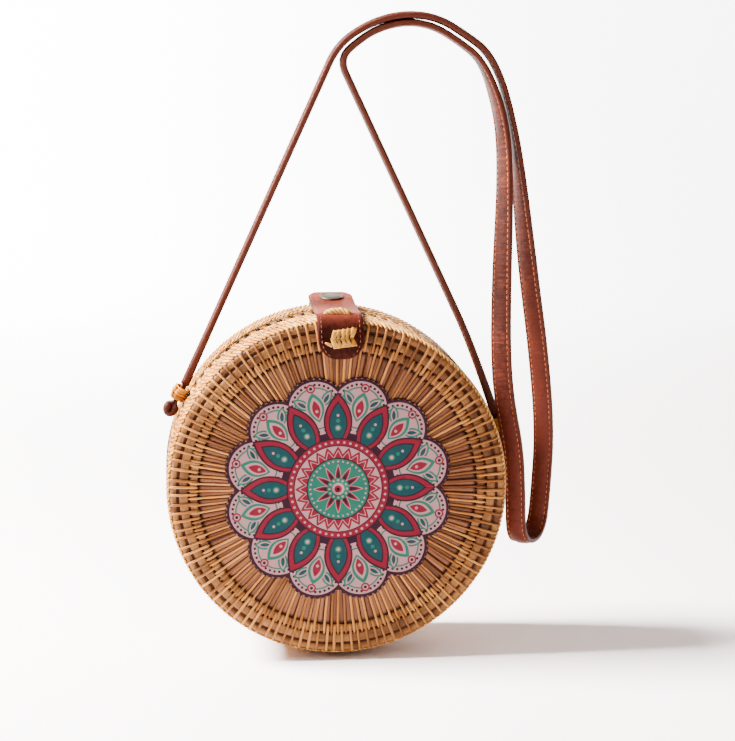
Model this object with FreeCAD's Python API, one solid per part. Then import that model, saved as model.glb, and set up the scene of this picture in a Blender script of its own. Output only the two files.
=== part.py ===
import FreeCAD, Part
import math
import os

# Round woven shoulder bag: two basket cups hinged at the bottom, a leather snap flap and a strap.
# Bag frame while modelling: origin at the basket's centre, +X right, -Y front face, +Z up, millimetres.
# The finished pieces are moved so that the origin lies where the strap is held.

Vector = FreeCAD.Vector

# Basket
bag_diameter = 200.0
bag_depth = 80.0
parting_offset = -3.0
parting_gap = 0.4
edge_radius = 6.0
wall_thickness = 4.0
wall_row_pitch = 5.2
wall_row_bulge = 0.8
wall_row_inset = 0.3
rim_rod_width = 5.2
rim_rod_height = 5.0
rim_rod_bulge = 0.6
panel_thickness = 2.0
lining_thickness = 0.8

# Woven reeds and coils of the faces
reed_count = 116
reed_width = 1.5
reed_thickness = 0.9
reed_bend_share = 0.3
reed_offset_share = 0.5
spoke_width = 1.7
spoke_height = 1.1
spoke_length = 30.8
spoke_rise = 0.7
coil_thickness = 1.4
coil_corner = 0.4
coil_gap = 0.5
outer_coil_width = 5.5
inner_coil_width = 5.1
centre_button_radius = 16.0
centre_ring_width = 4.4
centre_spoke_share = 0.5

# Printed cloth patch
patch_margin = 13.3
petal_depth = 7.0
patch_petals = 12
petal_tip_share = 0.5
patch_thickness = 0.65

# Clearances
seat_gap = 0.3
fit_gap = 0.2
cut_overrun = 1.0

# Leather flap and rear tab
flap_width = 25.4
flap_offset = 1.0
flap_thickness = 2.4
flap_drop = 23.0
flap_end_share = 0.9
fold_from_edge = 12.0
tongue_end_share = 0.63
tongue_past_snap = 13.0
tab_thickness = 1.4
tab_front_gap = 6.0

# Snap fastener
snap_from_parting = 15.0
snap_cap_diameter = 14.0
snap_cap_height = 1.8
snap_cap_lip = 0.5
socket_diameter = 10.6
socket_bore = 6.6
socket_thickness = 1.4
stud_flange_diameter = 11.0
stud_flange_height = 0.5
stud_diameter = 5.6
stud_height = 0.8

# Raffia stitches
stitch_thickness = 1.2
chevron_width = 17.0
chevron_height = 9.0
chevron_strands = 4
chevron_gap = 0.3
chevron_above_tip = 12.5
chevron_slant_share = 0.55
bar_diameter = 4.0
bar_length = 16.0
bar_lift = 0.1

# Bottom hinge
hinge_width = 36.0
hinge_reach = 18.0
hinge_thickness = 1.6
hinge_corner_radius = 6.0
hinge_roll_diameter = 3.0
hinge_roll_length = 24.0
hinge_stitch_length = 6.0
hinge_stitch_width = 2.2
hinge_stitch_count = 4
hinge_stitch_pitch = 6.5

# Strap lashings and folded strap ends
lug_angle_left = 29.1
lug_angle_right = 16.5
lash_turns = 4
lash_turn_height = 2.1
lash_turn_gap = 0.2
lash_wall = 1.4
lash_slot_width = 10.2
lash_slot_height = 5.3
lash_corner_radius = 1.8
lash_side_gap = 0.3
neck_width = 6.0
neck_thickness = 3.6
neck_reach = 6.0
end_loop_radius = 4.0
end_loop_bore = 1.5
end_loop_drop = 10.4

# Shoulder strap
strap_width = 12.5
strap_thickness = 3.4
strap_taper_length = 22.0
strap_arc_share = 0.45
strap_arc_steps = 6
strap_split_share = 0.5

# Strap route in the bag frame: x, y, z and the turn of the strap's flat side from the Y axis in degrees.
# It starts at the left lashing, turns over a bow at the top, hangs in a loop and comes back to the right lashing.
strap_route = [
    (3.6, 4.0, 256.5, 0.0),
    (24.0, 4.0, 269.5, 0.0),
    (44.0, 4.0, 274.0, 0.0),
    (63.0, 4.0, 271.5, 0.0),
    (80.0, 4.0, 261.0, 0.0),
    (92.0, 4.0, 252.0, 0.0),
    (100.8, 4.0, 235.0, 0.0),
    (107.0, 4.5, 212.0, 4.0),
    (110.8, 6.0, 188.0, 20.0),
    (118.0, 9.0, 125.0, 50.0),
    (126.0, 12.0, 72.0, 60.0),
    (130.5, 13.0, 24.0, 60.0),
    (129.0, 13.0, -10.0, 60.0),
    (126.0, 12.0, -42.0, 60.0),
    (109.5, -12.5, -42.0, 60.0),
    (108.8, -13.0, -8.0, 60.0),
    (107.1, -14.0, 18.0, 60.0),
    (101.4, -14.0, 46.0, 60.0),
    (99.0, -13.5, 74.0, 58.0),
    (99.6, -10.0, 118.0, 50.0),
    (102.2, -3.0, 170.0, 34.0),
    (101.6, 0.0, 202.0, 26.0),
    (97.4, 1.5, 224.0, 19.0),
    (88.5, 3.2, 247.0, 6.0),
    (75.5, 4.0, 257.4, 0.0),
    (59.5, 4.0, 267.2, 0.0),
    (42.5, 4.0, 269.4, 0.0),
    (25.0, 4.0, 264.6, 0.0),
    (12.5, 4.0, 255.6, 0.0),
    (6.9, 4.0, 250.0, 0.0),
    (6.6, 4.0, 242.9, 0.0),
    (84.1, 4.0, 77.0, 0.0),
]
loop_first_point = 7
loop_last_point = 23
grip_point = Vector(47.0, 4.0, 271.3)

# Worked out from the sizes above
diagonal_share = math.cos(math.pi / 4)
FRONT = -1
REAR = 1
LEFT = -1
RIGHT = 1
bag_radius = bag_diameter / 2
half_depth = bag_depth / 2
cup_depth = {
    FRONT: half_depth + parting_offset - parting_gap / 2,
    REAR: half_depth - parting_offset - parting_gap / 2,
}
wall_outer_radius = bag_radius - reed_thickness
wall_inner_radius = wall_outer_radius - wall_thickness
groove_radius = wall_outer_radius - wall_row_inset
coil_back = reed_thickness + coil_thickness
panel_back = coil_back + panel_thickness
outer_coil_end = bag_radius - edge_radius - coil_gap
outer_coil_start = outer_coil_end - outer_coil_width
inner_coil_end = outer_coil_start - coil_gap
inner_coil_start = inner_coil_end - inner_coil_width
spoke_top = coil_back - spoke_height
spoke_foot = inner_coil_start - fit_gap
spoke_bend = spoke_foot - 2 * spoke_rise
spoke_start_radius = spoke_bend - spoke_length
patch_radius = spoke_bend - patch_margin
patch_valley_radius = patch_radius - petal_depth
leather_top = bag_radius + seat_gap
fold_y = -half_depth + fold_from_edge
bar_radius = bar_diameter / 2
snap_y = parting_offset + snap_from_parting
tongue_lift = tab_thickness + stud_flange_height + stud_height + seat_gap
hinge_inner_radius = bag_radius + seat_gap
hinge_axis_z = -(hinge_inner_radius + hinge_thickness / 2)
lash_width = lash_slot_width + 2 * lash_wall
lash_height = lash_slot_height + 2 * lash_wall
lug_radius = bag_radius + seat_gap + lash_height / 2
lug_y = parting_offset + parting_gap / 2 + lash_side_gap + lash_width / 2
lug_angle = {LEFT: lug_angle_left, RIGHT: lug_angle_right}


def wire_through(start, steps):
    """Closed wire from a start point: a point is a straight step, a pair an arc through the first."""
    edges = []
    here = start
    for step in steps:
        if isinstance(step, tuple):
            end = step[1]
            edges.append(Part.Arc(here, step[0], end).toShape())
        else:
            end = step
            edges.append(Part.LineSegment(here, end).toShape())
        here = end
    if here.distanceToPoint(start) > 0:
        edges.append(Part.LineSegment(here, start).toShape())
    return Part.Wire(edges)


def turned_about_bag_axis(wire):
    """Solid of revolution of a wire in the X-Y plane about the Y axis."""
    return Part.Face(wire).revolve(Vector(0, 0, 0), Vector(0, 1, 0), 360)


def at(side, radius, inset):
    """Point of a cup's section: radius from the bag's axis, inset from the cup's outermost plane."""
    return Vector(radius, side * (half_depth - inset), 0)


def around_bag_axis(shape, angle):
    """Copy turned about the bag's axis, from the +X side towards +Z."""
    copy = shape.copy()
    copy.rotate(Vector(0, 0, 0), Vector(0, 1, 0), -angle)
    return copy


def ring(side, inner, outer, top, back, corner):
    """Flat ring of a face with rounded outer corners; top and back are insets."""
    chord = corner * (1 - diagonal_share)
    return turned_about_bag_axis(wire_through(at(side, inner, back), [
        at(side, inner, top + corner),
        (at(side, inner + chord, top + chord), at(side, inner + corner, top)),
        at(side, outer - corner, top),
        (at(side, outer - chord, top + chord), at(side, outer, top + corner)),
        at(side, outer, back),
    ]))


def disc(side, radius, top, back):
    """Plain round plate between two insets."""
    plate = Part.makeCylinder(radius, back - top, Vector(0, 0, 0), Vector(0, -side, 0))
    plate.translate(Vector(0, side * (half_depth - top), 0))
    return plate


def side_wall(side):
    """Wall of stacked coils with the rounded edge coil, whose lip lies over the face panel."""
    arc_radius = edge_radius - reed_thickness
    centre = bag_radius - edge_radius
    last = cup_depth[side] - rim_rod_width
    rows = max(1, round((last - edge_radius) / wall_row_pitch))
    pitch = (last - edge_radius) / rows
    slant = arc_radius * diagonal_share
    steps = [
        (at(side, centre + slant, edge_radius - slant), at(side, wall_outer_radius, edge_radius)),
        at(side, groove_radius, edge_radius),
    ]
    for row in range(rows):
        start = edge_radius + row * pitch
        crest = at(side, groove_radius + wall_row_bulge, start + pitch / 2)
        steps.append((crest, at(side, groove_radius, start + pitch)))
    steps += [
        at(side, wall_inner_radius, last),
        at(side, wall_inner_radius, coil_back),
        at(side, centre, coil_back),
    ]
    return turned_about_bag_axis(wire_through(at(side, centre, reed_thickness), steps))


def rim_rod(side):
    """Binding rod along the cup's open edge: flat where it meets the wall, bulged on the outside."""
    outer = bag_radius - rim_rod_bulge
    start = cup_depth[side] - rim_rod_width
    end = cup_depth[side]
    return turned_about_bag_axis(wire_through(at(side, bag_radius - rim_rod_height, start), [
        at(side, outer, start),
        (at(side, bag_radius, (start + end) / 2), at(side, outer, end)),
        at(side, bag_radius - rim_rod_height, end),
    ]))


def lining(side):
    """Cloth lining of one cup: the inside of its face and wall."""
    outer = wall_inner_radius - seat_gap
    inner = outer - lining_thickness
    top = panel_back + seat_gap
    end = cup_depth[side] - rim_rod_width - seat_gap
    return turned_about_bag_axis(wire_through(at(side, 0, top), [
        at(side, outer, top),
        at(side, outer, end),
        at(side, inner, end),
        at(side, inner, top + lining_thickness),
        at(side, 0, top + lining_thickness),
    ]))


def reed(points, width):
    """Flat-sided reed: an outline in the X-Y plane, given a width along Z."""
    outline = Part.Face(wire_through(points[0], points[1:]))
    bar = outline.extrude(Vector(0, 0, width))
    bar.translate(Vector(0, 0, -width / 2))
    return bar


def reeds_around(bar, count, first_share):
    """One reed repeated evenly round the bag's axis."""
    step = 360 / count
    return Part.makeCompound([around_bag_axis(bar, step * (i + first_share)) for i in range(count)])


def rim_wraps(side):
    """Reeds that start at the inner coil, pass over the outer coil and turn over the rounded edge."""
    centre = bag_radius - edge_radius
    inner_arc = edge_radius - reed_thickness
    inner_bend = inner_arc * math.tan(math.pi / 8)
    bar = reed([
        at(side, inner_coil_start, reed_thickness),
        at(side, inner_coil_start, 0),
        at(side, centre + edge_radius * reed_bend_share, 0),
        at(side, bag_radius, edge_radius * (1 - reed_bend_share)),
        at(side, bag_radius, edge_radius),
        at(side, wall_outer_radius, edge_radius),
        at(side, wall_outer_radius, edge_radius - inner_bend),
        at(side, centre + inner_bend, reed_thickness),
    ], reed_width)
    return reeds_around(bar, reed_count, reed_offset_share)


def face_spokes(side):
    """Radial reeds on the panel, which rise over the inner coil and tuck in beside the outer one."""
    tuck = inner_coil_end + coil_gap / 2
    bar = reed([
        at(side, spoke_start_radius, coil_back),
        at(side, spoke_start_radius, spoke_top),
        at(side, spoke_bend, spoke_top),
        at(side, spoke_foot - spoke_rise, 0),
        at(side, tuck, 0),
        at(side, tuck, reed_thickness),
        at(side, spoke_foot, reed_thickness),
        at(side, spoke_foot, coil_back),
    ], spoke_width)
    return reeds_around(bar, reed_count, 0)


def centre_spokes(side):
    """Shorter radial reeds between the centre button and the inner ring of the plain rear face."""
    start = centre_button_radius + fit_gap
    end = spoke_start_radius - centre_ring_width - 2 * fit_gap
    bar = reed([
        at(side, start, coil_back),
        at(side, start, spoke_top),
        at(side, end, spoke_top),
        at(side, end, coil_back),
    ], spoke_width)
    return reeds_around(bar, round(reed_count * centre_spoke_share), 0)


def border_coils(side):
    """Two flat coils under the reeds near the rim."""
    return [
        ring(side, inner_coil_start, inner_coil_end, reed_thickness, coil_back, coil_corner),
        ring(side, outer_coil_start, outer_coil_end, reed_thickness, coil_back, coil_corner),
    ]


def centre_coils(side):
    """Centre button and inner ring from which the plain face is woven outwards."""
    ring_end = spoke_start_radius - fit_gap
    return [
        disc(side, centre_button_radius, 0, coil_back),
        ring(side, ring_end - centre_ring_width, ring_end, reed_thickness, coil_back, coil_corner),
    ]


def printed_patch():
    """Cloth rosette on the front face, with round petals, lying on the spokes."""
    step = 2 * math.pi / patch_petals
    back = -half_depth + spoke_top

    def rim(radius, turn):
        return Vector(radius * math.cos(turn), back, radius * math.sin(turn))

    petals = [(rim(patch_radius, (i + petal_tip_share) * step), rim(patch_valley_radius, (i + 1) * step))
              for i in range(patch_petals - 1)]
    start = rim(patch_valley_radius, 0)
    petals.append((rim(patch_radius, -petal_tip_share * step), start))
    return Part.Face(wire_through(start, petals)).extrude(Vector(0, -patch_thickness, 0))


def leather_end(side, thickness, top_end):
    """Leather strip sewn to a face: up from its round end, over the rim and along the top to top_end."""
    face = side * (half_depth + seat_gap)
    outer_face = face + side * thickness
    centre_y = side * (half_depth - edge_radius)
    centre_z = bag_radius - edge_radius
    tip = bag_radius - flap_drop
    inner = edge_radius + seat_gap
    outer = inner + thickness
    slant = diagonal_share
    x = flap_offset - flap_width / 2

    def point(y, z):
        return Vector(x, y, z)

    wire = wire_through(point(face, tip), [
        point(face, centre_z),
        (point(centre_y + side * inner * slant, centre_z + inner * slant), point(centre_y, leather_top)),
        point(top_end, leather_top),
        point(top_end, leather_top + thickness),
        point(centre_y, leather_top + thickness),
        (point(centre_y + side * outer * slant, centre_z + outer * slant), point(outer_face, centre_z)),
        point(outer_face, tip),
    ])
    strip = Part.Face(wire).extrude(Vector(flap_width, 0, 0))

    ends = [edge for edge in strip.Edges
            if all(abs(v.Z - tip) < seat_gap for v in edge.Vertexes)
            and abs(edge.Vertexes[0].X - edge.Vertexes[-1].X) < seat_gap]
    return strip.makeFillet(flap_width / 2 * flap_end_share, ends)


def flap_tongue():
    """Free part of the flap: leaves the fold, rises over the snap and ends round, recessed below."""
    start = fold_y + seat_gap
    end = snap_y + tongue_past_snap
    rise_end = snap_y - snap_cap_diameter / 2
    middle = (start + rise_end) / 2
    low = leather_top
    high = leather_top + tongue_lift
    x = flap_offset - flap_width / 2

    def rise(offset):
        curve = Part.BezierCurve()
        curve.setPoles([Vector(x, y, z + offset) for y, z in
                        ((start, low), (middle, low), (middle, high), (rise_end, high))])
        return curve.toShape()

    def line(y1, z1, y2, z2):
        return Part.LineSegment(Vector(x, y1, z1), Vector(x, y2, z2)).toShape()

    wire = Part.Wire(Part.__sortEdges__([
        rise(0),
        line(rise_end, high, end, high),
        line(end, high, end, high + flap_thickness),
        line(end, high + flap_thickness, rise_end, high + flap_thickness),
        rise(flap_thickness),
        line(start, low + flap_thickness, start, low),
    ]))
    strip = Part.Face(wire).extrude(Vector(flap_width, 0, 0))
    ends = [edge for edge in strip.Edges
            if all(abs(v.Y - end) < seat_gap for v in edge.Vertexes)
            and abs(edge.Vertexes[0].X - edge.Vertexes[-1].X) < seat_gap]
    strip = strip.makeFillet(flap_width / 2 * tongue_end_share, ends)
    recess = Part.makeCylinder(socket_diameter / 2 + fit_gap, socket_thickness + fit_gap + cut_overrun,
                               Vector(flap_offset, snap_y, high - cut_overrun))
    return strip.cut(recess)


def turned_about_snap(points):
    """Solid of revolution about the snap's upright axis from radius and height pairs."""
    wire = Part.makePolygon([Vector(r, 0, z) for r, z in points + points[:1]])
    solid = Part.Face(wire).revolve(Vector(0, 0, 0), Vector(0, 0, 1), 360)
    solid.translate(Vector(flap_offset, snap_y, 0))
    return solid


def snap_cap():
    """Domed cap with an upright lip on the tongue's top."""
    base = leather_top + tongue_lift + flap_thickness
    radius = snap_cap_diameter / 2
    top = base + snap_cap_height
    rise = snap_cap_height - snap_cap_lip
    shoulder = (radius * radius + rise * rise) / (2 * rise)
    turn = math.asin(radius / shoulder) / 2
    crown = Vector(shoulder * math.sin(turn), 0, top - shoulder * (1 - math.cos(turn)))
    wire = wire_through(Vector(0, 0, base), [
        Vector(radius, 0, base),
        Vector(radius, 0, base + snap_cap_lip),
        (crown, Vector(0, 0, top)),
    ])
    solid = Part.Face(wire).revolve(Vector(0, 0, 0), Vector(0, 0, 1), 360)
    solid.translate(Vector(flap_offset, snap_y, 0))
    return solid


def snap_socket():
    """Socket ring set flush into the tongue's underside."""
    base = leather_top + tongue_lift
    return turned_about_snap([
        (socket_bore / 2, base),
        (socket_diameter / 2, base),
        (socket_diameter / 2, base + socket_thickness),
        (socket_bore / 2, base + socket_thickness),
    ])


def snap_stud():
    """Stud on the rear tab: a flange with a low post, chamfered at the top."""
    base = leather_top + tab_thickness
    shoulder = base + stud_flange_height
    top = shoulder + stud_height
    chamfer = stud_height / 2
    return turned_about_snap([
        (0, base),
        (stud_flange_diameter / 2, base),
        (stud_flange_diameter / 2, shoulder),
        (stud_diameter / 2, shoulder),
        (stud_diameter / 2, top - chamfer),
        (stud_diameter / 2 - chamfer, top),
        (0, top),
    ])


def chevron_stitch(side, leather_thickness):
    """Raffia chevrons through the leather: two rows of slanted strands that meet in the middle."""
    back = side * (half_depth + seat_gap + leather_thickness)
    middle = bag_radius - flap_drop + chevron_above_tip
    pitch = chevron_width / (chevron_strands + chevron_slant_share)
    width = pitch - chevron_gap
    slant = pitch * chevron_slant_share
    left = flap_offset - chevron_width / 2
    strands = []
    for row in (1, -1):
        near = middle + row * chevron_gap / 2
        far = middle + row * chevron_height / 2
        for i in range(chevron_strands):
            x = left + i * pitch
            outline = Part.makePolygon([
                Vector(x + slant, back, near),
                Vector(x + slant + width, back, near),
                Vector(x + width, back, far),
                Vector(x, back, far),
                Vector(x + slant, back, near),
            ])
            strands.append(Part.Face(outline).extrude(Vector(0, side * stitch_thickness, 0)))
    return Part.makeCompound(strands)


def fold_bar():
    """Raffia bar across the flap at its fold, on the axis about which the tongue lifts."""
    height = leather_top + flap_thickness + bar_lift + bar_radius
    return Part.makeCylinder(bar_radius, bar_length, Vector(flap_offset - bar_length / 2, fold_y, height),
                             Vector(1, 0, 0))


def hinge_leaf(side):
    """Leather leaf under the bottom of one cup, curved with the basket, with two round corners."""
    start = parting_offset + side * (hinge_roll_diameter / 2 + seat_gap)
    base = Vector(0, start, 0)
    direction = Vector(0, side, 0)
    outer = Part.makeCylinder(hinge_inner_radius + hinge_thickness, hinge_reach, base, direction)
    inner = Part.makeCylinder(hinge_inner_radius, hinge_reach, base, direction)
    window = Part.makeBox(hinge_width, hinge_reach, hinge_inner_radius + hinge_thickness + cut_overrun)
    window.translate(Vector(-hinge_width / 2, min(start, start + side * hinge_reach),
                            -(hinge_inner_radius + hinge_thickness + cut_overrun)))
    leaf = outer.cut(inner).common(window)
    far = start + side * hinge_reach
    ends = [edge for edge in leaf.Edges
            if all(abs(v.Y - far) < seat_gap for v in edge.Vertexes)
            and abs(edge.Vertexes[0].X - edge.Vertexes[-1].X) < seat_gap]
    return leaf.makeFillet(hinge_corner_radius, ends)


def hinge_roll():
    """Rolled fold of the hinge leather, on the axis about which the front cup opens."""
    return Part.makeCylinder(hinge_roll_diameter / 2, hinge_roll_length,
                             Vector(-hinge_roll_length / 2, parting_offset, hinge_axis_z), Vector(1, 0, 0))


def hinge_stitches(side):
    """Row of raffia stitches through a hinge leaf."""
    middle = parting_offset + side * (hinge_roll_diameter / 2 + seat_gap + hinge_reach / 2)
    top = -(hinge_inner_radius + hinge_thickness)
    bars = []
    for i in range(hinge_stitch_count):
        x = (i - (hinge_stitch_count - 1) / 2) * hinge_stitch_pitch
        bar = Part.makeBox(hinge_stitch_width, hinge_stitch_length, stitch_thickness)
        bar.translate(Vector(x - hinge_stitch_width / 2, middle - hinge_stitch_length / 2,
                             top - stitch_thickness))
        bars.append(bar)
    return Part.makeCompound(bars)


def on_wall(shape, hand):
    """Piece made beside the wall at +X, turned up to its lug angle and mirrored for the left side."""
    placed = around_bag_axis(shape, lug_angle[hand])
    if hand == LEFT:
        placed = placed.mirror(Vector(0, 0, 0), Vector(1, 0, 0))
    return placed


def lashing(hand):
    """Turns of raffia that hold the strap end to the wall, stacked along the strap."""
    pitch = lash_turn_height + lash_turn_gap
    turns = []
    for i in range(lash_turns):
        low = (i - lash_turns / 2) * pitch + lash_turn_gap / 2
        outer = Part.makeBox(lash_height, lash_width, lash_turn_height)
        outer.translate(Vector(lug_radius - lash_height / 2, lug_y - lash_width / 2, low))
        upright = [edge for edge in outer.Edges
                   if abs(edge.Vertexes[0].Z - edge.Vertexes[-1].Z) > lash_turn_height / 2]
        outer = outer.makeFillet(lash_corner_radius, upright)
        slot = Part.makeBox(lash_slot_height, lash_slot_width, lash_turn_height + 2 * cut_overrun)
        slot.translate(Vector(lug_radius - lash_slot_height / 2, lug_y - lash_slot_width / 2,
                              low - cut_overrun))
        turns.append(on_wall(outer.cut(slot), hand))
    return Part.makeCompound(turns)


def strap_end(hand):
    """Folded strap end: a doubled neck through the lashing and a closed loop below it."""
    neck = Part.makeBox(neck_thickness, neck_width, neck_reach + end_loop_drop)
    neck.translate(Vector(lug_radius - neck_thickness / 2, lug_y - neck_width / 2, -end_loop_drop))
    centre = Vector(lug_radius, lug_y - neck_width / 2, -end_loop_drop)
    loop = Part.makeCylinder(end_loop_radius, neck_width, centre, Vector(0, 1, 0))
    bore = Part.makeCylinder(end_loop_bore, neck_width, centre, Vector(0, 1, 0))
    return on_wall(neck.fuse(loop).removeSplitter().cut(bore), hand)


def neck_top(hand):
    """Place and upward direction of the neck's end, where the strap begins."""
    angle = math.radians(lug_angle[hand])
    upward = Vector(-math.sin(angle), 0, math.cos(angle))
    place = Vector(lug_radius * math.cos(angle), lug_y, lug_radius * math.sin(angle)) + upward * neck_reach
    if hand == LEFT:
        upward.x = -upward.x
        place.x = -place.x
    return place, upward


def strap_stations():
    """Places along the strap, its corners rounded by arcs: position, direction, share of the route."""
    left_place, left_up = neck_top(LEFT)
    right_place, right_up = neck_top(RIGHT)
    points = [left_place] + [Vector(x, y, z) for x, y, z, turn in strap_route] + [right_place]
    stations = [(points[0], left_up, 0.0)]
    radii = []
    for i in range(1, len(points) - 1):
        before = points[i] - points[i - 1]
        after = points[i + 1] - points[i]
        tangent = strap_arc_share * min(before.Length, after.Length)
        turn = before.getAngle(after)
        radius = tangent / math.tan(turn / 2)
        radii.append(radius)
        ahead = Vector(before).normalize()
        inward = Vector(after) - ahead * after.dot(ahead)
        inward.normalize()
        start = points[i] - ahead * tangent
        for k in range(strap_arc_steps + 1):
            share = k / strap_arc_steps
            angle = turn * share
            place = start + ahead * (radius * math.sin(angle)) + inward * (radius * (1 - math.cos(angle)))
            direction = ahead * math.cos(angle) + inward * math.sin(angle)
            place_share = i - tangent / before.Length * (1 - share) + tangent / after.Length * share
            stations.append((place, direction, place_share))
    stations.append((points[-1], right_up * -1, float(len(points) - 1)))
    print("strap bend radii:", [round(r, 1) for r in radii])
    return stations


def strap_turn(share):
    """Turn of the strap's flat side at a share of the route, between the values given at its points."""
    turns = [0.0] + [turn for x, y, z, turn in strap_route] + [0.0]
    low = min(int(share), len(turns) - 2)
    return turns[low] + (turns[low + 1] - turns[low]) * (share - low)


def strap_section(place, direction, share, width, thickness):
    """Rectangle of the strap square to its direction."""
    turn = math.radians(strap_turn(share))
    across = Vector(math.sin(turn), -math.cos(turn), 0)
    across = across - direction * across.dot(direction)
    across.normalize()
    out = direction.cross(across)
    half_across = across * (width / 2)
    half_out = out * (thickness / 2)
    corners = [place - half_across - half_out, place + half_across - half_out,
               place + half_across + half_out, place - half_across + half_out]
    return Part.makePolygon(corners + corners[:1])


def between(first, second, share):
    """Station on the straight run between two stations."""
    place = first[0] + (second[0] - first[0]) * share
    direction = (second[0] - first[0]).normalize()
    return place, direction, first[2] + (second[2] - first[2]) * share


def strap_pieces():
    """Left run, hanging loop and right run, as ruled lofts that share their end sections."""
    stations = strap_stations()
    first_run = (stations[1][0] - stations[0][0]).Length
    last_run = (stations[-1][0] - stations[-2][0]).Length
    stations.insert(1, between(stations[0], stations[1], strap_taper_length / first_run))
    stations.insert(-1, between(stations[-1], stations[-2], strap_taper_length / last_run))
    place, direction, share = stations[-2]
    stations[-2] = (place, direction * -1, share)
    sections = [strap_section(*station, strap_width, strap_thickness) for station in stations]
    sections[0] = strap_section(*stations[0], neck_width, neck_thickness)
    sections[-1] = strap_section(*stations[-1], neck_width, neck_thickness)
    lengths = [(b[0] - a[0]).Length for a, b in zip(stations, stations[1:])]
    full_volume = sum(lengths) * strap_width * strap_thickness
    print("strap length:", round(sum(lengths), 1), "section times length:", round(full_volume, 1))

    def split_before(point):
        index = next(k for k, station in enumerate(stations) if station[2] > point - strap_arc_share)
        middle = between(stations[index - 1], stations[index], strap_split_share)
        stations.insert(index, middle)
        sections.insert(index, strap_section(*middle, strap_width, strap_thickness))
        return index

    first = split_before(loop_first_point)
    last = split_before(loop_last_point)
    runs = (sections[:first + 1], sections[first:last + 1], sections[last:])
    lofts = [Part.makeLoft(run, True, True) for run in runs]
    print("strap volume:", round(sum(loft.Volume for loft in lofts), 1))
    return lofts


def build():
    """All pieces by node name, in the bag frame."""
    pieces = {}
    for side, name in ((FRONT, "front"), (REAR, "rear")):
        spokes = [face_spokes(side)]
        coils = border_coils(side)
        if side == REAR:
            spokes.append(centre_spokes(side))
            coils += centre_coils(side)
        pieces[name + "_face_panel"] = disc(side, wall_inner_radius - fit_gap, coil_back, panel_back)
        pieces[name + "_spokes"] = Part.makeCompound(spokes)
        pieces[name + "_coils"] = Part.makeCompound(coils)
        pieces[name + "_rim_wraps"] = rim_wraps(side)
        pieces[name + "_side_wall"] = side_wall(side)
        pieces[name + "_rim_rod"] = rim_rod(side)
        pieces[name + "_lining"] = lining(side)
        pieces[name + "_hinge_leaf"] = hinge_leaf(side)
        pieces[name + "_hinge_stitches"] = hinge_stitches(side)
    pieces["printed_patch"] = printed_patch()
    pieces["hinge_roll"] = hinge_roll()
    pieces["flap_sewn_end"] = leather_end(FRONT, flap_thickness, fold_y)
    pieces["flap_chevron"] = chevron_stitch(FRONT, flap_thickness)
    pieces["flap_fold_bar"] = fold_bar()
    pieces["flap_tongue"] = flap_tongue()
    pieces["snap_cap"] = snap_cap()
    pieces["snap_socket"] = snap_socket()
    pieces["rear_tab"] = leather_end(REAR, tab_thickness, parting_offset + tab_front_gap)
    pieces["rear_tab_chevron"] = chevron_stitch(REAR, tab_thickness)
    pieces["snap_stud"] = snap_stud()
    for hand, name in ((LEFT, "left"), (RIGHT, "right")):
        pieces["lashing_" + name] = lashing(hand)
        pieces["strap_end_" + name] = strap_end(hand)
    left_run, hanging_loop, right_run = strap_pieces()
    pieces["strap_left_run"] = left_run
    pieces["strap_hanging_loop"] = hanging_loop
    pieces["strap_right_run"] = right_run
    return pieces


def main():
    """Write each piece in the row frame, whose origin is where the strap is held."""
    os.makedirs("parts", exist_ok=True)
    for node, shape in build().items():
        shape.translate(grip_point * -1)
        shape.exportStep(os.path.join("parts", node + ".step"))
        box = shape.BoundBox
        print(node, len(shape.Solids), shape.isValid(), round(shape.Volume, 1),
              [round(v, 1) for v in (box.XMin, box.YMin, box.ZMin, box.XMax, box.YMax, box.ZMax)])


main()
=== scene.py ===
import logging
import math
from dataclasses import dataclass, field
from enum import Enum
from typing import Optional, Sequence, Union

import bpy
import numpy as np
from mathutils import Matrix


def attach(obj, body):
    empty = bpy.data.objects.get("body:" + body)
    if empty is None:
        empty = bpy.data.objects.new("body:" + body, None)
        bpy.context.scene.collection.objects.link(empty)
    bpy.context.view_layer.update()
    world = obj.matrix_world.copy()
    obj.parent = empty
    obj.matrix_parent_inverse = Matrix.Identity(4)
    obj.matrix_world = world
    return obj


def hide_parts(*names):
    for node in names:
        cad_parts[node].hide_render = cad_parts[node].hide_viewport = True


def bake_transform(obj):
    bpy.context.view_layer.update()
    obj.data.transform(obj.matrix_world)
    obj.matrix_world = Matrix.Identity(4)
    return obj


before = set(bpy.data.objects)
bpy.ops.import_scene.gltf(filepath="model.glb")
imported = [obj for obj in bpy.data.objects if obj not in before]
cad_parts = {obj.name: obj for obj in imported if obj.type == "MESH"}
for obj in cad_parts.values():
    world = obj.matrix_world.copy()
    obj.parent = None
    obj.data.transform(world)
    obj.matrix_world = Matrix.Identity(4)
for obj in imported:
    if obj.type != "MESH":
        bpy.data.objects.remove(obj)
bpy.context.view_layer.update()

LOG = logging.getLogger("woven_bag")
Array = np.ndarray
Colour = tuple[float, float, float, float]

# Lengths are millimetres in the bag's own axes, from the middle of the basket: X right, Y to the rear, Z up.
# ORIGIN is the place of the shared frame's origin in these axes, at the top of the strap's bow.
MM = 0.001
ORIGIN = np.array([47.0, 4.0, 271.3])
BAG_RADIUS = 100.0
HALF_DEPTH = 40.0
EDGE_RADIUS = 6.0
PARTING = -3.0
PARTING_GAP = 0.4
REEDS = 116
PETALS = 12
PETAL_CENTRE = 49.44
PETAL_RADIUS = 18.06
UV_NAME = "StrandUV"


class Side(Enum):
    """The two basket cups, by the sign of their Y side."""

    FRONT = -1
    REAR = 1


class Flank(Enum):
    """The two strap lashings, by the sign of their X side."""

    LEFT = -1
    RIGHT = 1


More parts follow.
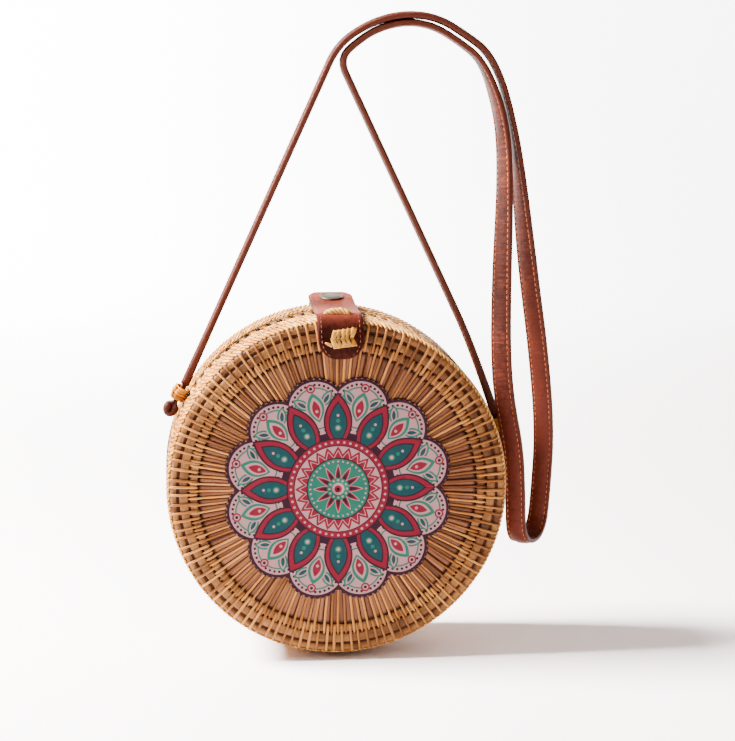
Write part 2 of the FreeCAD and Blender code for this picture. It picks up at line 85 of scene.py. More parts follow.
def unit(vectors: Array) -> Array:
    """Vectors divided by their lengths along the last axis."""
    return vectors / np.maximum(np.linalg.norm(vectors, axis=-1, keepdims=True), 1e-12)


def eased(values: Array, low: float, high: float) -> Array:
    """Smooth step from 0 at low to 1 at high."""
    t = np.clip((values - low) / (high - low), 0, 1)
    return t * t * (3 - 2 * t)


def circle(steps: int) -> Array:
    """Angles of even steps round a full turn."""
    return np.arange(steps) / steps * 2 * np.pi


def run_along(points: Array) -> Array:
    """Distance along a line of points, from 0 at its start."""
    return np.concatenate([[0], np.cumsum(np.linalg.norm(np.diff(points, axis=0), axis=-1))])


def in_frame(points: Array) -> Array:
    """Points of the bag as points of the shared frame, in metres."""
    return (points - ORIGIN) * MM


def squared(flat: Array, power: float) -> Array:
    """A unit circle pushed towards a square: sign * |value| ^ power."""
    return np.sign(flat) * np.abs(flat) ** power


def grid_quads(index: Array) -> Array:
    """Quads (Q, 4) of a grid of point numbers."""
    return np.stack([index[:-1, :-1], index[1:, :-1], index[1:, 1:], index[:-1, 1:]], axis=-1).reshape(-1, 4)


def linear(red: float, green: float, blue: float) -> Colour:
    """A display colour of 0 to 255 as linear light with full alpha.

    Args:
        red: red share, 0 to 255.
        green: green share, 0 to 255.
        blue: blue share, 0 to 255.

    Returns:
        The linear colour.
    """
    shares = np.array([red, green, blue]) / 255
    low = shares / 12.92
    high = ((shares + 0.055) / 1.055) ** 2.4
    return (*np.where(shares <= 0.04045, low, high).tolist(), 1.0)


def round_section(count: int, squareness: float = 1.0) -> Array:
    """Closed oval of unit half sizes that starts at its underside.

    Args:
        count: number of points.
        squareness: 1 for a circle, lower for a rounded rectangle.

    Returns:
        Points (count, 2), anticlockwise.
    """
    turn = circle(count) - np.pi / 2
    return squared(np.stack([np.cos(turn), np.sin(turn)], axis=-1), squareness)


@dataclass
class Surface:
    """Points in the bag's axes, with quads, end caps, UVs and per-point values."""

    points: Array
    quads: Array
    quad_uv: Array
    caps: list[Array] = field(default_factory=list)
    values: dict[str, Array] = field(default_factory=dict)

    @staticmethod
    def joined(parts: Sequence["Surface"]) -> "Surface":
        """One surface from several, with values that a part lacks set to 0.

        Args:
            parts: the surfaces to join.

        Returns:
            The joined surface.
        """
        starts = np.cumsum([0] + [len(part.points) for part in parts])
        names = {name for part in parts for name in part.values}
        return Surface(
            points=np.concatenate([part.points for part in parts]),
            quads=np.concatenate([part.quads + start for part, start in zip(parts, starts)]),
            quad_uv=np.concatenate([part.quad_uv for part in parts]),
            caps=[cap + start for part, start in zip(parts, starts) for cap in part.caps],
            values={
                name: np.concatenate([part.values.get(name, np.zeros(len(part.points))) for part in parts])
                for name in names
            },
        )

    def to_object(self, name: str, material: bpy.types.Material) -> bpy.types.Object:
        """A Blender object in the shared frame, shaded smooth.

        Args:
            name: the piece's name.
            material: its finish.

        Returns:
            The new object, linked to the scene.
        """
        mesh = bpy.data.meshes.new(name)
        mesh.vertices.add(len(self.points))
        mesh.vertices.foreach_set("co", in_frame(self.points).astype(np.float32).ravel())
        corners = np.concatenate([self.quads.ravel()] + [cap.ravel() for cap in self.caps]).astype(np.int32)
        sizes = [np.full(len(self.quads), 4)] + [np.full(len(cap), cap.shape[1]) for cap in self.caps]
        totals = np.concatenate(sizes)
        mesh.loops.add(len(corners))
        mesh.loops.foreach_set("vertex_index", corners)
        mesh.polygons.add(len(totals))
        mesh.polygons.foreach_set("loop_start", np.concatenate([[0], np.cumsum(totals)[:-1]]).astype(np.int32))
        mesh.update(calc_edges=True)
        uv = np.zeros((len(corners), 2), np.float32)
        uv[: self.quads.size] = self.quad_uv.reshape(-1, 2)
        mesh.uv_layers.new(name=UV_NAME).data.foreach_set("uv", uv.ravel())
        for key, numbers in self.values.items():
            mesh.attributes.new(key, "FLOAT", "POINT").data.foreach_set("value", numbers.astype(np.float32))
        mesh.polygons.foreach_set("use_smooth", np.ones(len(totals), bool))
        mesh.materials.append(material)
        piece = bpy.data.objects.new(name, mesh)
        bpy.context.scene.collection.objects.link(piece)
        LOG.info("%s: %d faces", name, len(totals))
        return piece


def sweep(paths: Array, up_hint: Array, half_width: Array, half_height: Array, section: Array,
          closed: bool = False, tone: Optional[Array] = None, tuck: Optional[Array] = None) -> Surface:
    """Carries a section along each of N paths: point = path + across * width * a + up * height * b.

    Args:
        paths: path points (N, M, 3).
        up_hint: rough upward directions, broadcast to (N, M, 3).
        half_width: half width, broadcast to (N, M).
        half_height: half height, broadcast to (N, M).
        section: section points (K, 2), anticlockwise, unit half sizes.
        closed: whether each path joins its own start.
        tone: one value per path for the finish.
        tuck: painted shade towards a tucked end, where the strand runs under others, broadcast to (N, M).

    Returns:
        The swept surface, with flat caps on open ends.
    """
    n, m, k = len(paths), paths.shape[1], len(section)
    if closed:
        ahead = np.roll(paths, -1, axis=1)
        tangent = unit(ahead - np.roll(paths, 1, axis=1))
    else:
        ahead = paths[:, 1:]
        tangent = unit(np.gradient(paths, axis=1))
    across = unit(np.cross(np.broadcast_to(up_hint, paths.shape), tangent))
    up = np.cross(tangent, across)
    wide = np.broadcast_to(half_width, (n, m))[..., None] * section[:, 0]
    high = np.broadcast_to(half_height, (n, m))[..., None] * section[:, 1]
    points = paths[:, :, None] + across[:, :, None] * wide[..., None] + up[:, :, None] * high[..., None]
    index = np.arange(n * m * k).reshape(n, m, k)
    beside = np.roll(index, -1, axis=2)
    last = m if closed else m - 1
    near, near_beside = index[:, :last], beside[:, :last]
    far, far_beside = np.roll(index, -1, axis=1)[:, :last], np.roll(beside, -1, axis=1)[:, :last]
    quads = np.stack([near, near_beside, far_beside, far], axis=-1)
    steps = np.linalg.norm(ahead - paths[:, :last], axis=-1)
    end = np.cumsum(steps, axis=1)
    start = end - steps
    v = np.arange(k + 1) / k
    uv = np.empty(quads.shape + (2,))
    uv[..., :2, 0] = start[:, :, None, None]
    uv[..., 2:, 0] = end[:, :, None, None]
    uv[..., [0, 3], 1] = v[:-1, None]
    uv[..., [1, 2], 1] = v[1:, None]
    caps = [] if closed else [np.concatenate([index[:, 0, ::-1], index[:, -1]])]
    tone = np.full(n, 0.5) if tone is None else tone
    tuck = np.zeros((n, m)) if tuck is None else np.broadcast_to(tuck, (n, m))
    values = {"tone": np.repeat(tone, m * k), "tuck": np.repeat(tuck.ravel(), k)}
    return Surface(points.reshape(-1, 3), quads.reshape(-1, 4), uv.reshape(-1, 4, 2), caps, values)


def slab(centre: Array, normal: Array, half_thickness: Array, edge: Array) -> Surface:
    """Closed sheet about a grid: faces at centre plus and minus normal * half thickness, joined round the rim.

    Args:
        centre: grid points (M, K, 3); the first direction crossed with the second points along normal.
        normal: unit normals (M, K, 3).
        half_thickness: half thickness, broadcast to (M, K).
        edge: distance to the cut edge (M, K) in millimetres, kept as the value "edge".

    Returns:
        The closed surface.
    """
    m, k = centre.shape[:2]
    offset = normal * np.broadcast_to(half_thickness, (m, k))[..., None]
    top = np.arange(m * k).reshape(m, k)
    rim = np.concatenate([top[0, :-1], top[:-1, -1], top[-1, :0:-1], top[:0:-1, 0]])
    rim_next = np.roll(rim, -1)
    faces = grid_quads(top)
    sides = np.stack([rim, rim_next, rim_next + m * k, rim + m * k], axis=-1)
    quads = np.concatenate([faces, (faces + m * k)[:, ::-1], sides])
    along = np.cumsum(np.linalg.norm(np.diff(centre, axis=0, prepend=centre[:1]), axis=-1), axis=0)
    cross = np.cumsum(np.linalg.norm(np.diff(centre, axis=1, prepend=centre[:, :1]), axis=-1), axis=1)
    uv = np.tile(np.stack([along, cross], axis=-1).reshape(-1, 2), (2, 1))
    points = np.concatenate([(centre + offset).reshape(-1, 3), (centre - offset).reshape(-1, 3)])
    return Surface(points, quads, uv[quads], [], {"edge": np.tile(edge.ravel(), 2)})


def lathe(profile: Array, count: int) -> Surface:
    """Turns a profile of radius r and height about the Z axis: point = (r cos t, r sin t, height).

    Args:
        profile: points (P, 2) from the axis at the top round to the axis below.
        count: number of steps round the axis.

    Returns:
        The turned surface.
    """
    turn = circle(count)[:, None]
    radius, height = profile[:, 0], profile[:, 1]
    points = np.stack([np.cos(turn) * radius, np.sin(turn) * radius,
                       np.broadcast_to(height, (count, len(height)))], axis=-1)
    index = np.arange(points.size // 3).reshape(count, -1)
    beside = np.roll(index, -1, axis=0)
    quads = np.stack([index[:, :-1], index[:, 1:], beside[:, 1:], beside[:, :-1]], axis=-1).reshape(-1, 4)
    return Surface(points.reshape(-1, 3), quads, np.zeros((len(quads), 4, 2)))


def stitches(line: Array, normal: Array, pitch: float, share: float, width: float, height: float) -> Surface:
    """Thread stitches along a line on a surface, each a short strand that arches as half a sine wave.

    Args:
        line: points (P, 3) along the seam.
        normal: surface normals (P, 3).
        pitch: distance between stitches.
        share: part of the pitch that shows thread.
        width: half width of the thread.
        height: half height of the thread.

    Returns:
        All the stitches.
    """
    run = run_along(line)
    count = max(1, int(run[-1] / pitch))
    within = np.linspace(0, 1, 5)
    at = (np.arange(count)[:, None] + 0.5 + (within - 0.5) * share) * (run[-1] / count)
    paths = np.stack([np.interp(at, run, line[:, axis]) for axis in range(3)], axis=-1)
    ups = np.stack([np.interp(at, run, normal[:, axis]) for axis in range(3)], axis=-1)
    arch = np.sin(np.pi * within)
    paths = paths + ups * (height * (arch - 0.4))[None, :, None]
    taper = 0.45 + 0.55 * arch
    return sweep(paths, ups, width * taper, height * taper, round_section(5),
                 tone=np.linspace(0, 1, count) * 7 % 1)


Number = Union["Value", float]


class Value:
    """A shader socket on which arithmetic adds Math nodes."""

    def __init__(self, tree: "FinishTree", socket: bpy.types.NodeSocket) -> None:
        """Wraps a socket of a finish's node tree."""
        self.tree = tree
        self.socket = socket

    def calc(self, operation: str, *others: Number) -> "Value":
        """Adds one Math node.

        Args:
            operation: the Math node's operation.
            others: further operands.

        Returns:
            The result.
        """
        return self.tree.math(operation, self, *others)

    def __add__(self, other: Number) -> "Value":
        """Sum."""
        return self.calc("ADD", other)

    def __sub__(self, other: Number) -> "Value":
        """Difference."""
        return self.calc("SUBTRACT", other)

    def __mul__(self, other: Number) -> "Value":
        """Product."""
        return self.calc("MULTIPLY", other)

    def __truediv__(self, other: Number) -> "Value":
        """Quotient."""
        return self.calc("DIVIDE", other)

    def __radd__(self, other: float) -> "Value":
        """Sum with a number first."""
        return self.tree.math("ADD", other, self)

    def __rsub__(self, other: float) -> "Value":
        """Difference with a number first."""
        return self.tree.math("SUBTRACT", other, self)

    def __rmul__(self, other: float) -> "Value":
        """Product with a number first."""
        return self.tree.math("MULTIPLY", other, self)

    def __rtruediv__(self, other: float) -> "Value":
        """Quotient with a number first."""
        return self.tree.math("DIVIDE", other, self)

    def eased(self, low: float, high: float) -> "Value":
        """Smooth step from 0 at low to 1 at high, which may be the lower of the two."""
        node = self.tree.node("ShaderNodeMapRange", {"interpolation_type": "SMOOTHSTEP"},
                              {"Value": self, "From Min": low, "From Max": high})
        return Value(self.tree, node.outputs[0])

    def wrapped(self, period: float) -> "Value":
        """Remainder in one period, from minus half to plus half of it."""
        return (self + period / 2).calc("FLOORED_MODULO", period) - period / 2


class FinishTree:
    """Node tree of one finish, around a single Principled shader."""

    def __init__(self, name: str) -> None:
        """Starts a material with a bare Principled shader.

        Args:
            name: the material's name.
        """
        self.material = bpy.data.materials.new(name)
        self.material.use_nodes = True
        self.material.node_tree.nodes.clear()
        self.shader = self.node("ShaderNodeBsdfPrincipled", {}, {})
        self.node("ShaderNodeOutputMaterial", {}, {"Surface": self.shader.outputs[0]})

    def node(self, kind: str, settings: dict, links: dict) -> bpy.types.Node:
        """Adds a node.

        Args:
            kind: the node's type.
            settings: its properties, set first.
            links: values or links of its input sockets, by name or number.

        Returns:
            The node.
        """
        added = self.material.node_tree.nodes.new(kind)
        for key, setting in settings.items():
            setattr(added, key, setting)
        self.feed(added, links)
        return added

    def feed(self, target: bpy.types.Node, links: dict) -> None:
        """Sets or links a node's inputs.

        Args:
            target: the node.
            links: values or links of its input sockets, by name or number.
        """
        for key, given in links.items():
            if isinstance(given, Value):
                given = given.socket
            if isinstance(given, bpy.types.NodeSocket):
                self.material.node_tree.links.new(given, target.inputs[key])
            else:
                target.inputs[key].default_value = given

    def math(self, operation: str, *operands: Number) -> Value:
        """Adds a Math node for the operands and returns its result."""
        added = self.node("ShaderNodeMath", {"operation": operation}, dict(enumerate(operands)))
        return Value(self, added.outputs[0])

    def mix(self, share: Number, first: object, second: object) -> bpy.types.NodeSocket:
        """Colour between two colours.

        Args:
            share: 0 for the first, 1 for the second.
            first: a colour or a colour socket.
            second: a colour or a colour socket.

        Returns:
            The mixed colour's socket.
        """
        added = self.node("ShaderNodeMix", {"data_type": "RGBA"}, {0: share, 6: first, 7: second})
        return added.outputs[2]

    def noise(self, place: object, scale: float, detail: float = 2.0) -> Value:
        """Noise of about 0 to 1 at a place."""
        added = self.node("ShaderNodeTexNoise", {}, {"Vector": place, "Scale": scale, "Detail": detail})
        return Value(self, added.outputs[0])

    def point(self, x: Number, y: Number, z: Number) -> bpy.types.NodeSocket:
        """A vector from three numbers."""
        return self.node("ShaderNodeCombineXYZ", {}, {0: x, 1: y, 2: z}).outputs[0]

    def uv(self) -> tuple[Value, Value]:
        """The piece's own UV.

        Returns:
            The length along it and the place across it.
        """
        found = self.node("ShaderNodeUVMap", {"uv_map": UV_NAME}, {})
        parts = self.node("ShaderNodeSeparateXYZ", {}, {0: found.outputs[0]})
        return Value(self, parts.outputs[0]), Value(self, parts.outputs[1])

    def place(self) -> bpy.types.NodeSocket:
        """Object coordinates, which are those of the shared frame."""
        return self.node("ShaderNodeTexCoord", {}, {}).outputs["Object"]

    def given(self, name: str) -> Value:
        """A per-point value of the piece."""
        return Value(self, self.node("ShaderNodeAttribute", {"attribute_name": name}, {}).outputs["Fac"])

    def finish(self, height: Optional[Number] = None, depth: float = 0.0001, strength: float = 0.5,
               **sockets: object) -> bpy.types.Material:
        """Feeds the shader.

        Args:
            height: relief for the bump, or None.
            depth: distance of the relief in metres.
            strength: strength of the bump.
            sockets: shader inputs by name, with underscores for spaces.

        Returns:
            The finished material.
        """
        links = {key.replace("_", " "): given for key, given in sockets.items()}
        if height is not None:
            relief = self.node("ShaderNodeBump", {}, {"Height": height, "Distance": depth, "Strength": strength})
            links["Normal"] = relief.outputs[0]
        self.feed(self.shader, links)
        return self.material


@dataclass(frozen=True)
class StrandFinish:
    """Split reed, splint, raffia or thread: streaks along the strand, a tone per strand, painted shade at tucked ends.
    """

    name: str
    deep: Colour
    middle: Colour
    pale: Colour
    painted_shade_colour: Colour
    roughness: float
    streak_length: float
    streak_count: float
    relief: float
    sheen: float = 0.08
    painted_light_slope: tuple[float, float] = (0.0, 0.0)

    def build(self) -> bpy.types.Material:
        """The material: tone + streaks + patches + painted light slope pick between deep, middle and pale; painted
        shade darkens.

        The painted light slope falls evenly across and up the bag, by its two slopes per metre: positive slopes paint
        shade towards the right and the top, negative ones paint light there.

        Returns:
            The material.
        """
        tree = FinishTree(self.name)
        along, around = tree.uv()
        tone = tree.given("tone")
        place = tree.place()
        streak = tree.noise(tree.point(along / self.streak_length, around * self.streak_count, tone * 60), 1.0, 4.0)
        thin = tree.point(along / (self.streak_length * 3), around * self.streak_count * 5, tone * 31)
        fibre = tree.noise(thin, 1.0, 2.0)
        patch = tree.noise(place, 26.0, 2.0)
        axes = tree.node("ShaderNodeSeparateXYZ", {}, {0: place}).outputs
        # Painted light and shade: the level falls along positive slopes and rises along negative ones, across and up
        # the bag.
        painted_light_across = (Value(tree, axes[0]) + ORIGIN[0] * MM) * self.painted_light_slope[0]
        painted_light_up = (Value(tree, axes[2]) + ORIGIN[2] * MM) * self.painted_light_slope[1]
        level = tone * 0.5 + streak * 0.55 + patch * 0.55 - (painted_light_across + painted_light_up) - 0.3
        colour = tree.mix(level.eased(0.05, 0.5), self.deep, self.middle)
        colour = tree.mix((level + fibre * 0.35).eased(0.5, 1.0), colour, self.pale)
        # Painted shade: a dark colour mixed in where a strand tucks under others or lies in a recess.
        colour = tree.mix(tree.given("tuck").eased(0.0, 1.0), colour, self.painted_shade_colour)
        rough = streak * 0.25 + (self.roughness - 0.12)
        return tree.finish(height=fibre * 0.7 + streak * 0.5, depth=self.relief * MM, strength=0.6,
                           Base_Color=colour, Roughness=rough, Specular_IOR_Level=self.sheen)


@dataclass(frozen=True)
class LeatherFinish:
    """Smooth leather: broad clouding, fine pores, paler worn places that also carry painted light, and cut edges in
    their own paler colour that also stands in for light on the strap's narrow sides.
    """

    name: str
    deep: Colour
    middle: Colour
    bright: Colour
    edge: Colour
    worn: Colour
    roughness: float
    sheen: float
    grain: float
    wrinkle: float = 0.0

    def build(self) -> bpy.types.Material:
        """The material: two noises pick the tone, "wear" and "edge" mix in their colours; both carry painted light as
        well as wear and edge colour.

        Pores, creases and short wrinkles across the strip make the relief.

        Returns:
            The material.
        """
        tree = FinishTree(self.name)
        place = tree.place()
        cloud = tree.noise(place, 38.0, 4.0)
        fine = tree.noise(place, 420.0, 3.0)
        crease = (tree.noise(place, 130.0, 5.0) - 0.5).calc("ABSOLUTE").eased(0.05, 0.0)
        pores = tree.node("ShaderNodeTexVoronoi", {"feature": "DISTANCE_TO_EDGE"},
                          {"Vector": place, "Scale": 1100.0}).outputs[0]
        grain = Value(tree, pores).eased(0.0, 0.25)
        along, around = tree.uv()
        folds = (tree.noise(tree.point(along / 1.1, around * 6.0, 0.0), 1.0, 3.0) - 0.5) * self.wrinkle
        level = cloud * 0.8 + fine * 0.35 - crease * 0.12 + folds * 0.3 - 0.05
        colour = tree.mix(level.eased(0.2, 0.58), self.deep, self.middle)
        colour = tree.mix(level.eased(0.5, 0.85), colour, self.bright)
        # Wear and painted light: the worn colour pales the flap's top and the hanging loop, partly wear and partly
        # painted light.
        colour = tree.mix(tree.given("wear") * (level * 0.5 + 0.6), colour, self.worn)
        # Cut edges in their own colour, paler than the face, which also stands in for light on the strap's narrow
        # sides.
        colour = tree.mix(tree.given("edge").eased(0.9, 0.0), colour, self.edge)
        rough = fine * 0.3 + (self.roughness - 0.15)
        return tree.finish(height=grain * self.grain + fine * 0.6 - crease * 1.2 + folds, depth=0.00012, strength=0.6,
                           Base_Color=colour, Roughness=rough, Specular_IOR_Level=self.sheen)


@dataclass(frozen=True)
class MetalFinish:
    """Antique snap metal with a worn crown."""

    name: str
    dull: Colour
    worn: Colour
    roughness: float

    def build(self) -> bpy.types.Material:
        """The material: noise between dull and worn tones, fine scratches as relief.

        Returns:
            The material.
        """
        tree = FinishTree(self.name)
        place = tree.place()
        cloud = tree.noise(place, 160.0, 4.0)
        scratch = tree.noise(place, 1400.0, 2.0)
        colour = tree.mix((cloud * 0.8 + scratch * 0.3).eased(0.3, 0.8), self.dull, self.worn)
        return tree.finish(height=scratch, depth=0.00003, strength=0.3, Base_Color=colour,
                           Roughness=cloud * 0.25 + (self.roughness - 0.12), Metallic=0.85)


@dataclass(frozen=True)
class ClothFinish:
    """Plain woven cotton for the lining."""

    name: str
    dark: Colour
    light: Colour
    thread: float

    def build(self) -> bpy.types.Material:
        """The material: product of two sine waves along the cloth's UV gives the threads.

        Returns:
            The material.
        """
        tree = FinishTree(self.name)
        along, across = tree.uv()
        turn = 2 * math.pi / self.thread
        weave = (along * turn).calc("SINE") * (across * turn).calc("SINE") * 0.5 + 0.5
        cloud = tree.noise(tree.place(), 30.0, 4.0)
        colour = tree.mix((cloud * 0.8 + weave * 0.25).eased(0.25, 0.85), self.dark, self.light)
        return tree.finish(height=weave, depth=0.0002, strength=0.6, Base_Color=colour,
                           Roughness=weave * 0.1 + 0.8)


@dataclass(frozen=True)
class FloorFinish:
    """Matte studio paper that glows more and more towards the lit wall behind."""

    name: str
    shade: Colour
    light: Colour
    glow: Colour
    glow_strength: float
    glow_depth: tuple[float, float]
    glow_half_width: tuple[float, float]
    glow_top: tuple[float, float]
    glow_loss: float = 0.62
    loss_from: float = -0.5
    loss_to: float = 0.6

    def build(self) -> bpy.types.Material:
        """The material: a faint clouding of one pale tone; glow = product of shares by depth, width, height and side.

        Returns:
            The material.
        """
        tree = FinishTree(self.name)
        place = tree.place()
        cloud = tree.noise(place, 2.0, 2.0)
        axes = tree.node("ShaderNodeSeparateXYZ", {}, {0: place}).outputs
        x, y, z = (Value(tree, axis) for axis in axes)
        behind = y.eased(*self.glow_depth)
        middle = x.calc("ABSOLUTE").eased(*self.glow_half_width[::-1])
        low = z.eased(*self.glow_top[::-1])
        side = 1 - x.eased(self.loss_from, self.loss_to) * self.glow_loss
        glow = tree.mix(behind * middle * low * side, (0.0, 0.0, 0.0, 1.0), self.glow)
        return tree.finish(Base_Color=tree.mix(cloud, self.shade, self.light), Roughness=0.9,
                           Specular_IOR_Level=0.1, Emission_Color=glow, Emission_Strength=self.glow_strength)


@dataclass(frozen=True)
class RosettePrint:
    """Printed cotton rosette: round petals with sprays of leaves, arches, a beaded and a toothed ring, a star."""

    name: str
    plum: Colour
    crimson: Colour
    teal: Colour
    deep_teal: Colour
    cream: Colour
    blur: float = 0.14

    def inside(self, distance: Value) -> Value:
        """1 where a signed distance is below 0, with a soft border."""
        return distance.eased(self.blur, -self.blur)

    def build(self) -> bpy.types.Material:
        """The material: motifs are signed distances in folded polar coordinates, painted in order.

        Returns:
            The material.
        """
        tree = FinishTree(self.name)
        x, z = tree.uv()
        step = 2 * math.pi / PETALS
        radius = (x * x + z * z).calc("SQRT")
        angle = z.calc("ARCTAN2", x)
        on_petal = (angle - step / 2).wrapped(step)
        on_gap = angle.wrapped(step)
        u, v = radius * on_petal.calc("COSINE"), (radius * on_petal.calc("SINE")).calc("ABSOLUTE")
        gap_u, gap_v = radius * on_gap.calc("COSINE"), (radius * on_gap.calc("SINE")).calc("ABSOLUTE")

        def disc(cx: float, px: Value, py: Value, size: float) -> Value:
            """Signed distance to a round spot at cx along an axis."""
            return ((px - cx) * (px - cx) + py * py).calc("SQRT") - size

        def leaf(px: Value, py: Value, middle: float, half: float, wide: float) -> Value:
            """Signed distance to a pointed leaf: |y| below wide * (1 - ((x - middle) / half)^2)."""
            t = (px - middle) / half
            return py - (1 - t * t) * wide

        def tooth(count: int) -> Value:
            """Triangle wave round the centre, from 0 in a valley to 1 on a tip."""
            pitch = 2 * math.pi / count
            return 1 - angle.wrapped(pitch).calc("ABSOLUTE") * (2 / pitch)

        def tilted(base: float, lean: float) -> tuple[Value, Value]:
            """Axes along and across a pair of leaves that lean out from a petal's middle line.

            Args:
                base: place of their foot along the petal.
                lean: angle to the petal's middle line.

            Returns:
                The two axes.
            """
            ahead = u - base
            along = ahead * math.cos(lean) + v * math.sin(lean)
            return along, (v * math.cos(lean) - ahead * math.sin(lean)).calc("ABSOLUTE")

        def beads(distance: Value, turn: Value, reach: float, pitch: float, size: float) -> Value:
            """Signed distance to round spots along a circle of the given reach."""
            off = turn.wrapped(pitch) * reach
            return (off * off + distance * distance).calc("SQRT") - size

        petal = disc(PETAL_CENTRE, u, v, PETAL_RADIUS)
        petal_turn = v.calc("ARCTAN2", u - PETAL_CENTRE)
        side, side_off = tilted(46.0, 0.78)
        # Each layer is a signed distance in millimetres, painted below 0, and its ink.
        layers = [
            (petal + 2.3, self.cream),
            (beads(petal + 4.1, petal_turn, 14.0, 0.2, 0.78), self.plum),
            ((petal + 6.0).calc("ABSOLUTE") - 0.45, self.teal),
            (leaf(side, side_off, 10.6, 6.0, 2.9), self.teal),
            (leaf(side, side_off, 10.6, 4.5, 1.8), self.cream),
            (leaf(side, side_off, 10.4, 3.2, 1.1), self.deep_teal),
            (leaf(u, v, 50.0, 9.8, 5.7), self.cream),
            (leaf(u, v, 50.0, 9.0, 4.9), self.teal),
            (leaf(u, v, 49.4, 7.0, 3.4), self.cream),
            (leaf(u, v, 48.8, 5.4, 2.3), self.crimson),
            (disc(47.6, u, v, 0.9), self.cream),
            (disc(61.4, u, v, 2.6), self.crimson),
            (disc(61.4, u, v, 1.7), self.cream),
            (disc(61.4, u, v, 0.95), self.plum),
            (leaf(gap_u, gap_v, 40.0, 17.5, 8.4), self.plum),
            (leaf(gap_u, gap_v, 39.8, 16.2, 7.4), self.crimson),
            (leaf(gap_u, gap_v, 39.2, 12.6, 5.5), self.plum),
            (leaf(gap_u, gap_v, 39.0, 11.6, 4.8), self.deep_teal),
            (disc(36.2, gap_u, gap_v, 2.0), self.teal),
            (disc(36.2, gap_u, gap_v, 1.1), self.cream),
            (disc(40.4, gap_u, gap_v, 1.15), self.teal),
            (disc(43.6, gap_u, gap_v, 0.8), self.cream),
            (radius - 30.2, self.plum),
            (radius - 29.4, self.crimson),
            (beads(radius - 27.7, angle, 27.7, 2 * math.pi / 48, 0.75), self.cream),
            (radius - 26.0, self.plum),
            (radius - 25.4, self.cream),
        ]
        ridge = tooth(24) * 4.6 + 19.8
        layers += [
            (radius - ridge - 0.9, self.crimson),
            ((radius - ridge + 1.6).calc("ABSOLUTE") - 0.42, self.cream),
            (radius - 18.6, self.plum),
            (radius - 17.8, self.teal),
            (beads(radius - 16.3, angle, 16.3, 2 * math.pi / 36, 0.6), self.cream),
        ]
        star = tooth(12) * 8.2 + 6.6
        layers += [
            (radius - star, self.cream),
            (radius - star + 1.0, self.crimson),
            (radius - star + 3.4, self.plum),
            (radius - 6.6, self.teal),
            (beads(radius - 5.2, angle, 5.2, 2 * math.pi / 12, 0.6), self.cream),
            (radius - 3.6, self.cream),
            (radius - 2.2, self.crimson),
            (radius - 0.9, self.plum),
        ]
        paint = self.plum
        for distance, ink in layers:
            paint = tree.mix(self.inside(distance), paint, ink)
        thread = 2 * math.pi / 0.55
        weave = (x * thread).calc("SINE") * (z * thread).calc("SINE") * 0.5 + 0.5
        wear = tree.noise(tree.place(), 90.0, 5.0)
        faded = tree.mix((wear * 0.5 + weave * 0.12).eased(0.25, 0.75) * 0.1, paint, self.cream)
        return tree.finish(height=weave * 0.6 + wear * 0.5, depth=0.00012, strength=0.5,
                           Base_Color=faded, Roughness=wear * 0.2 + 0.55, Specular_IOR_Level=0.05)


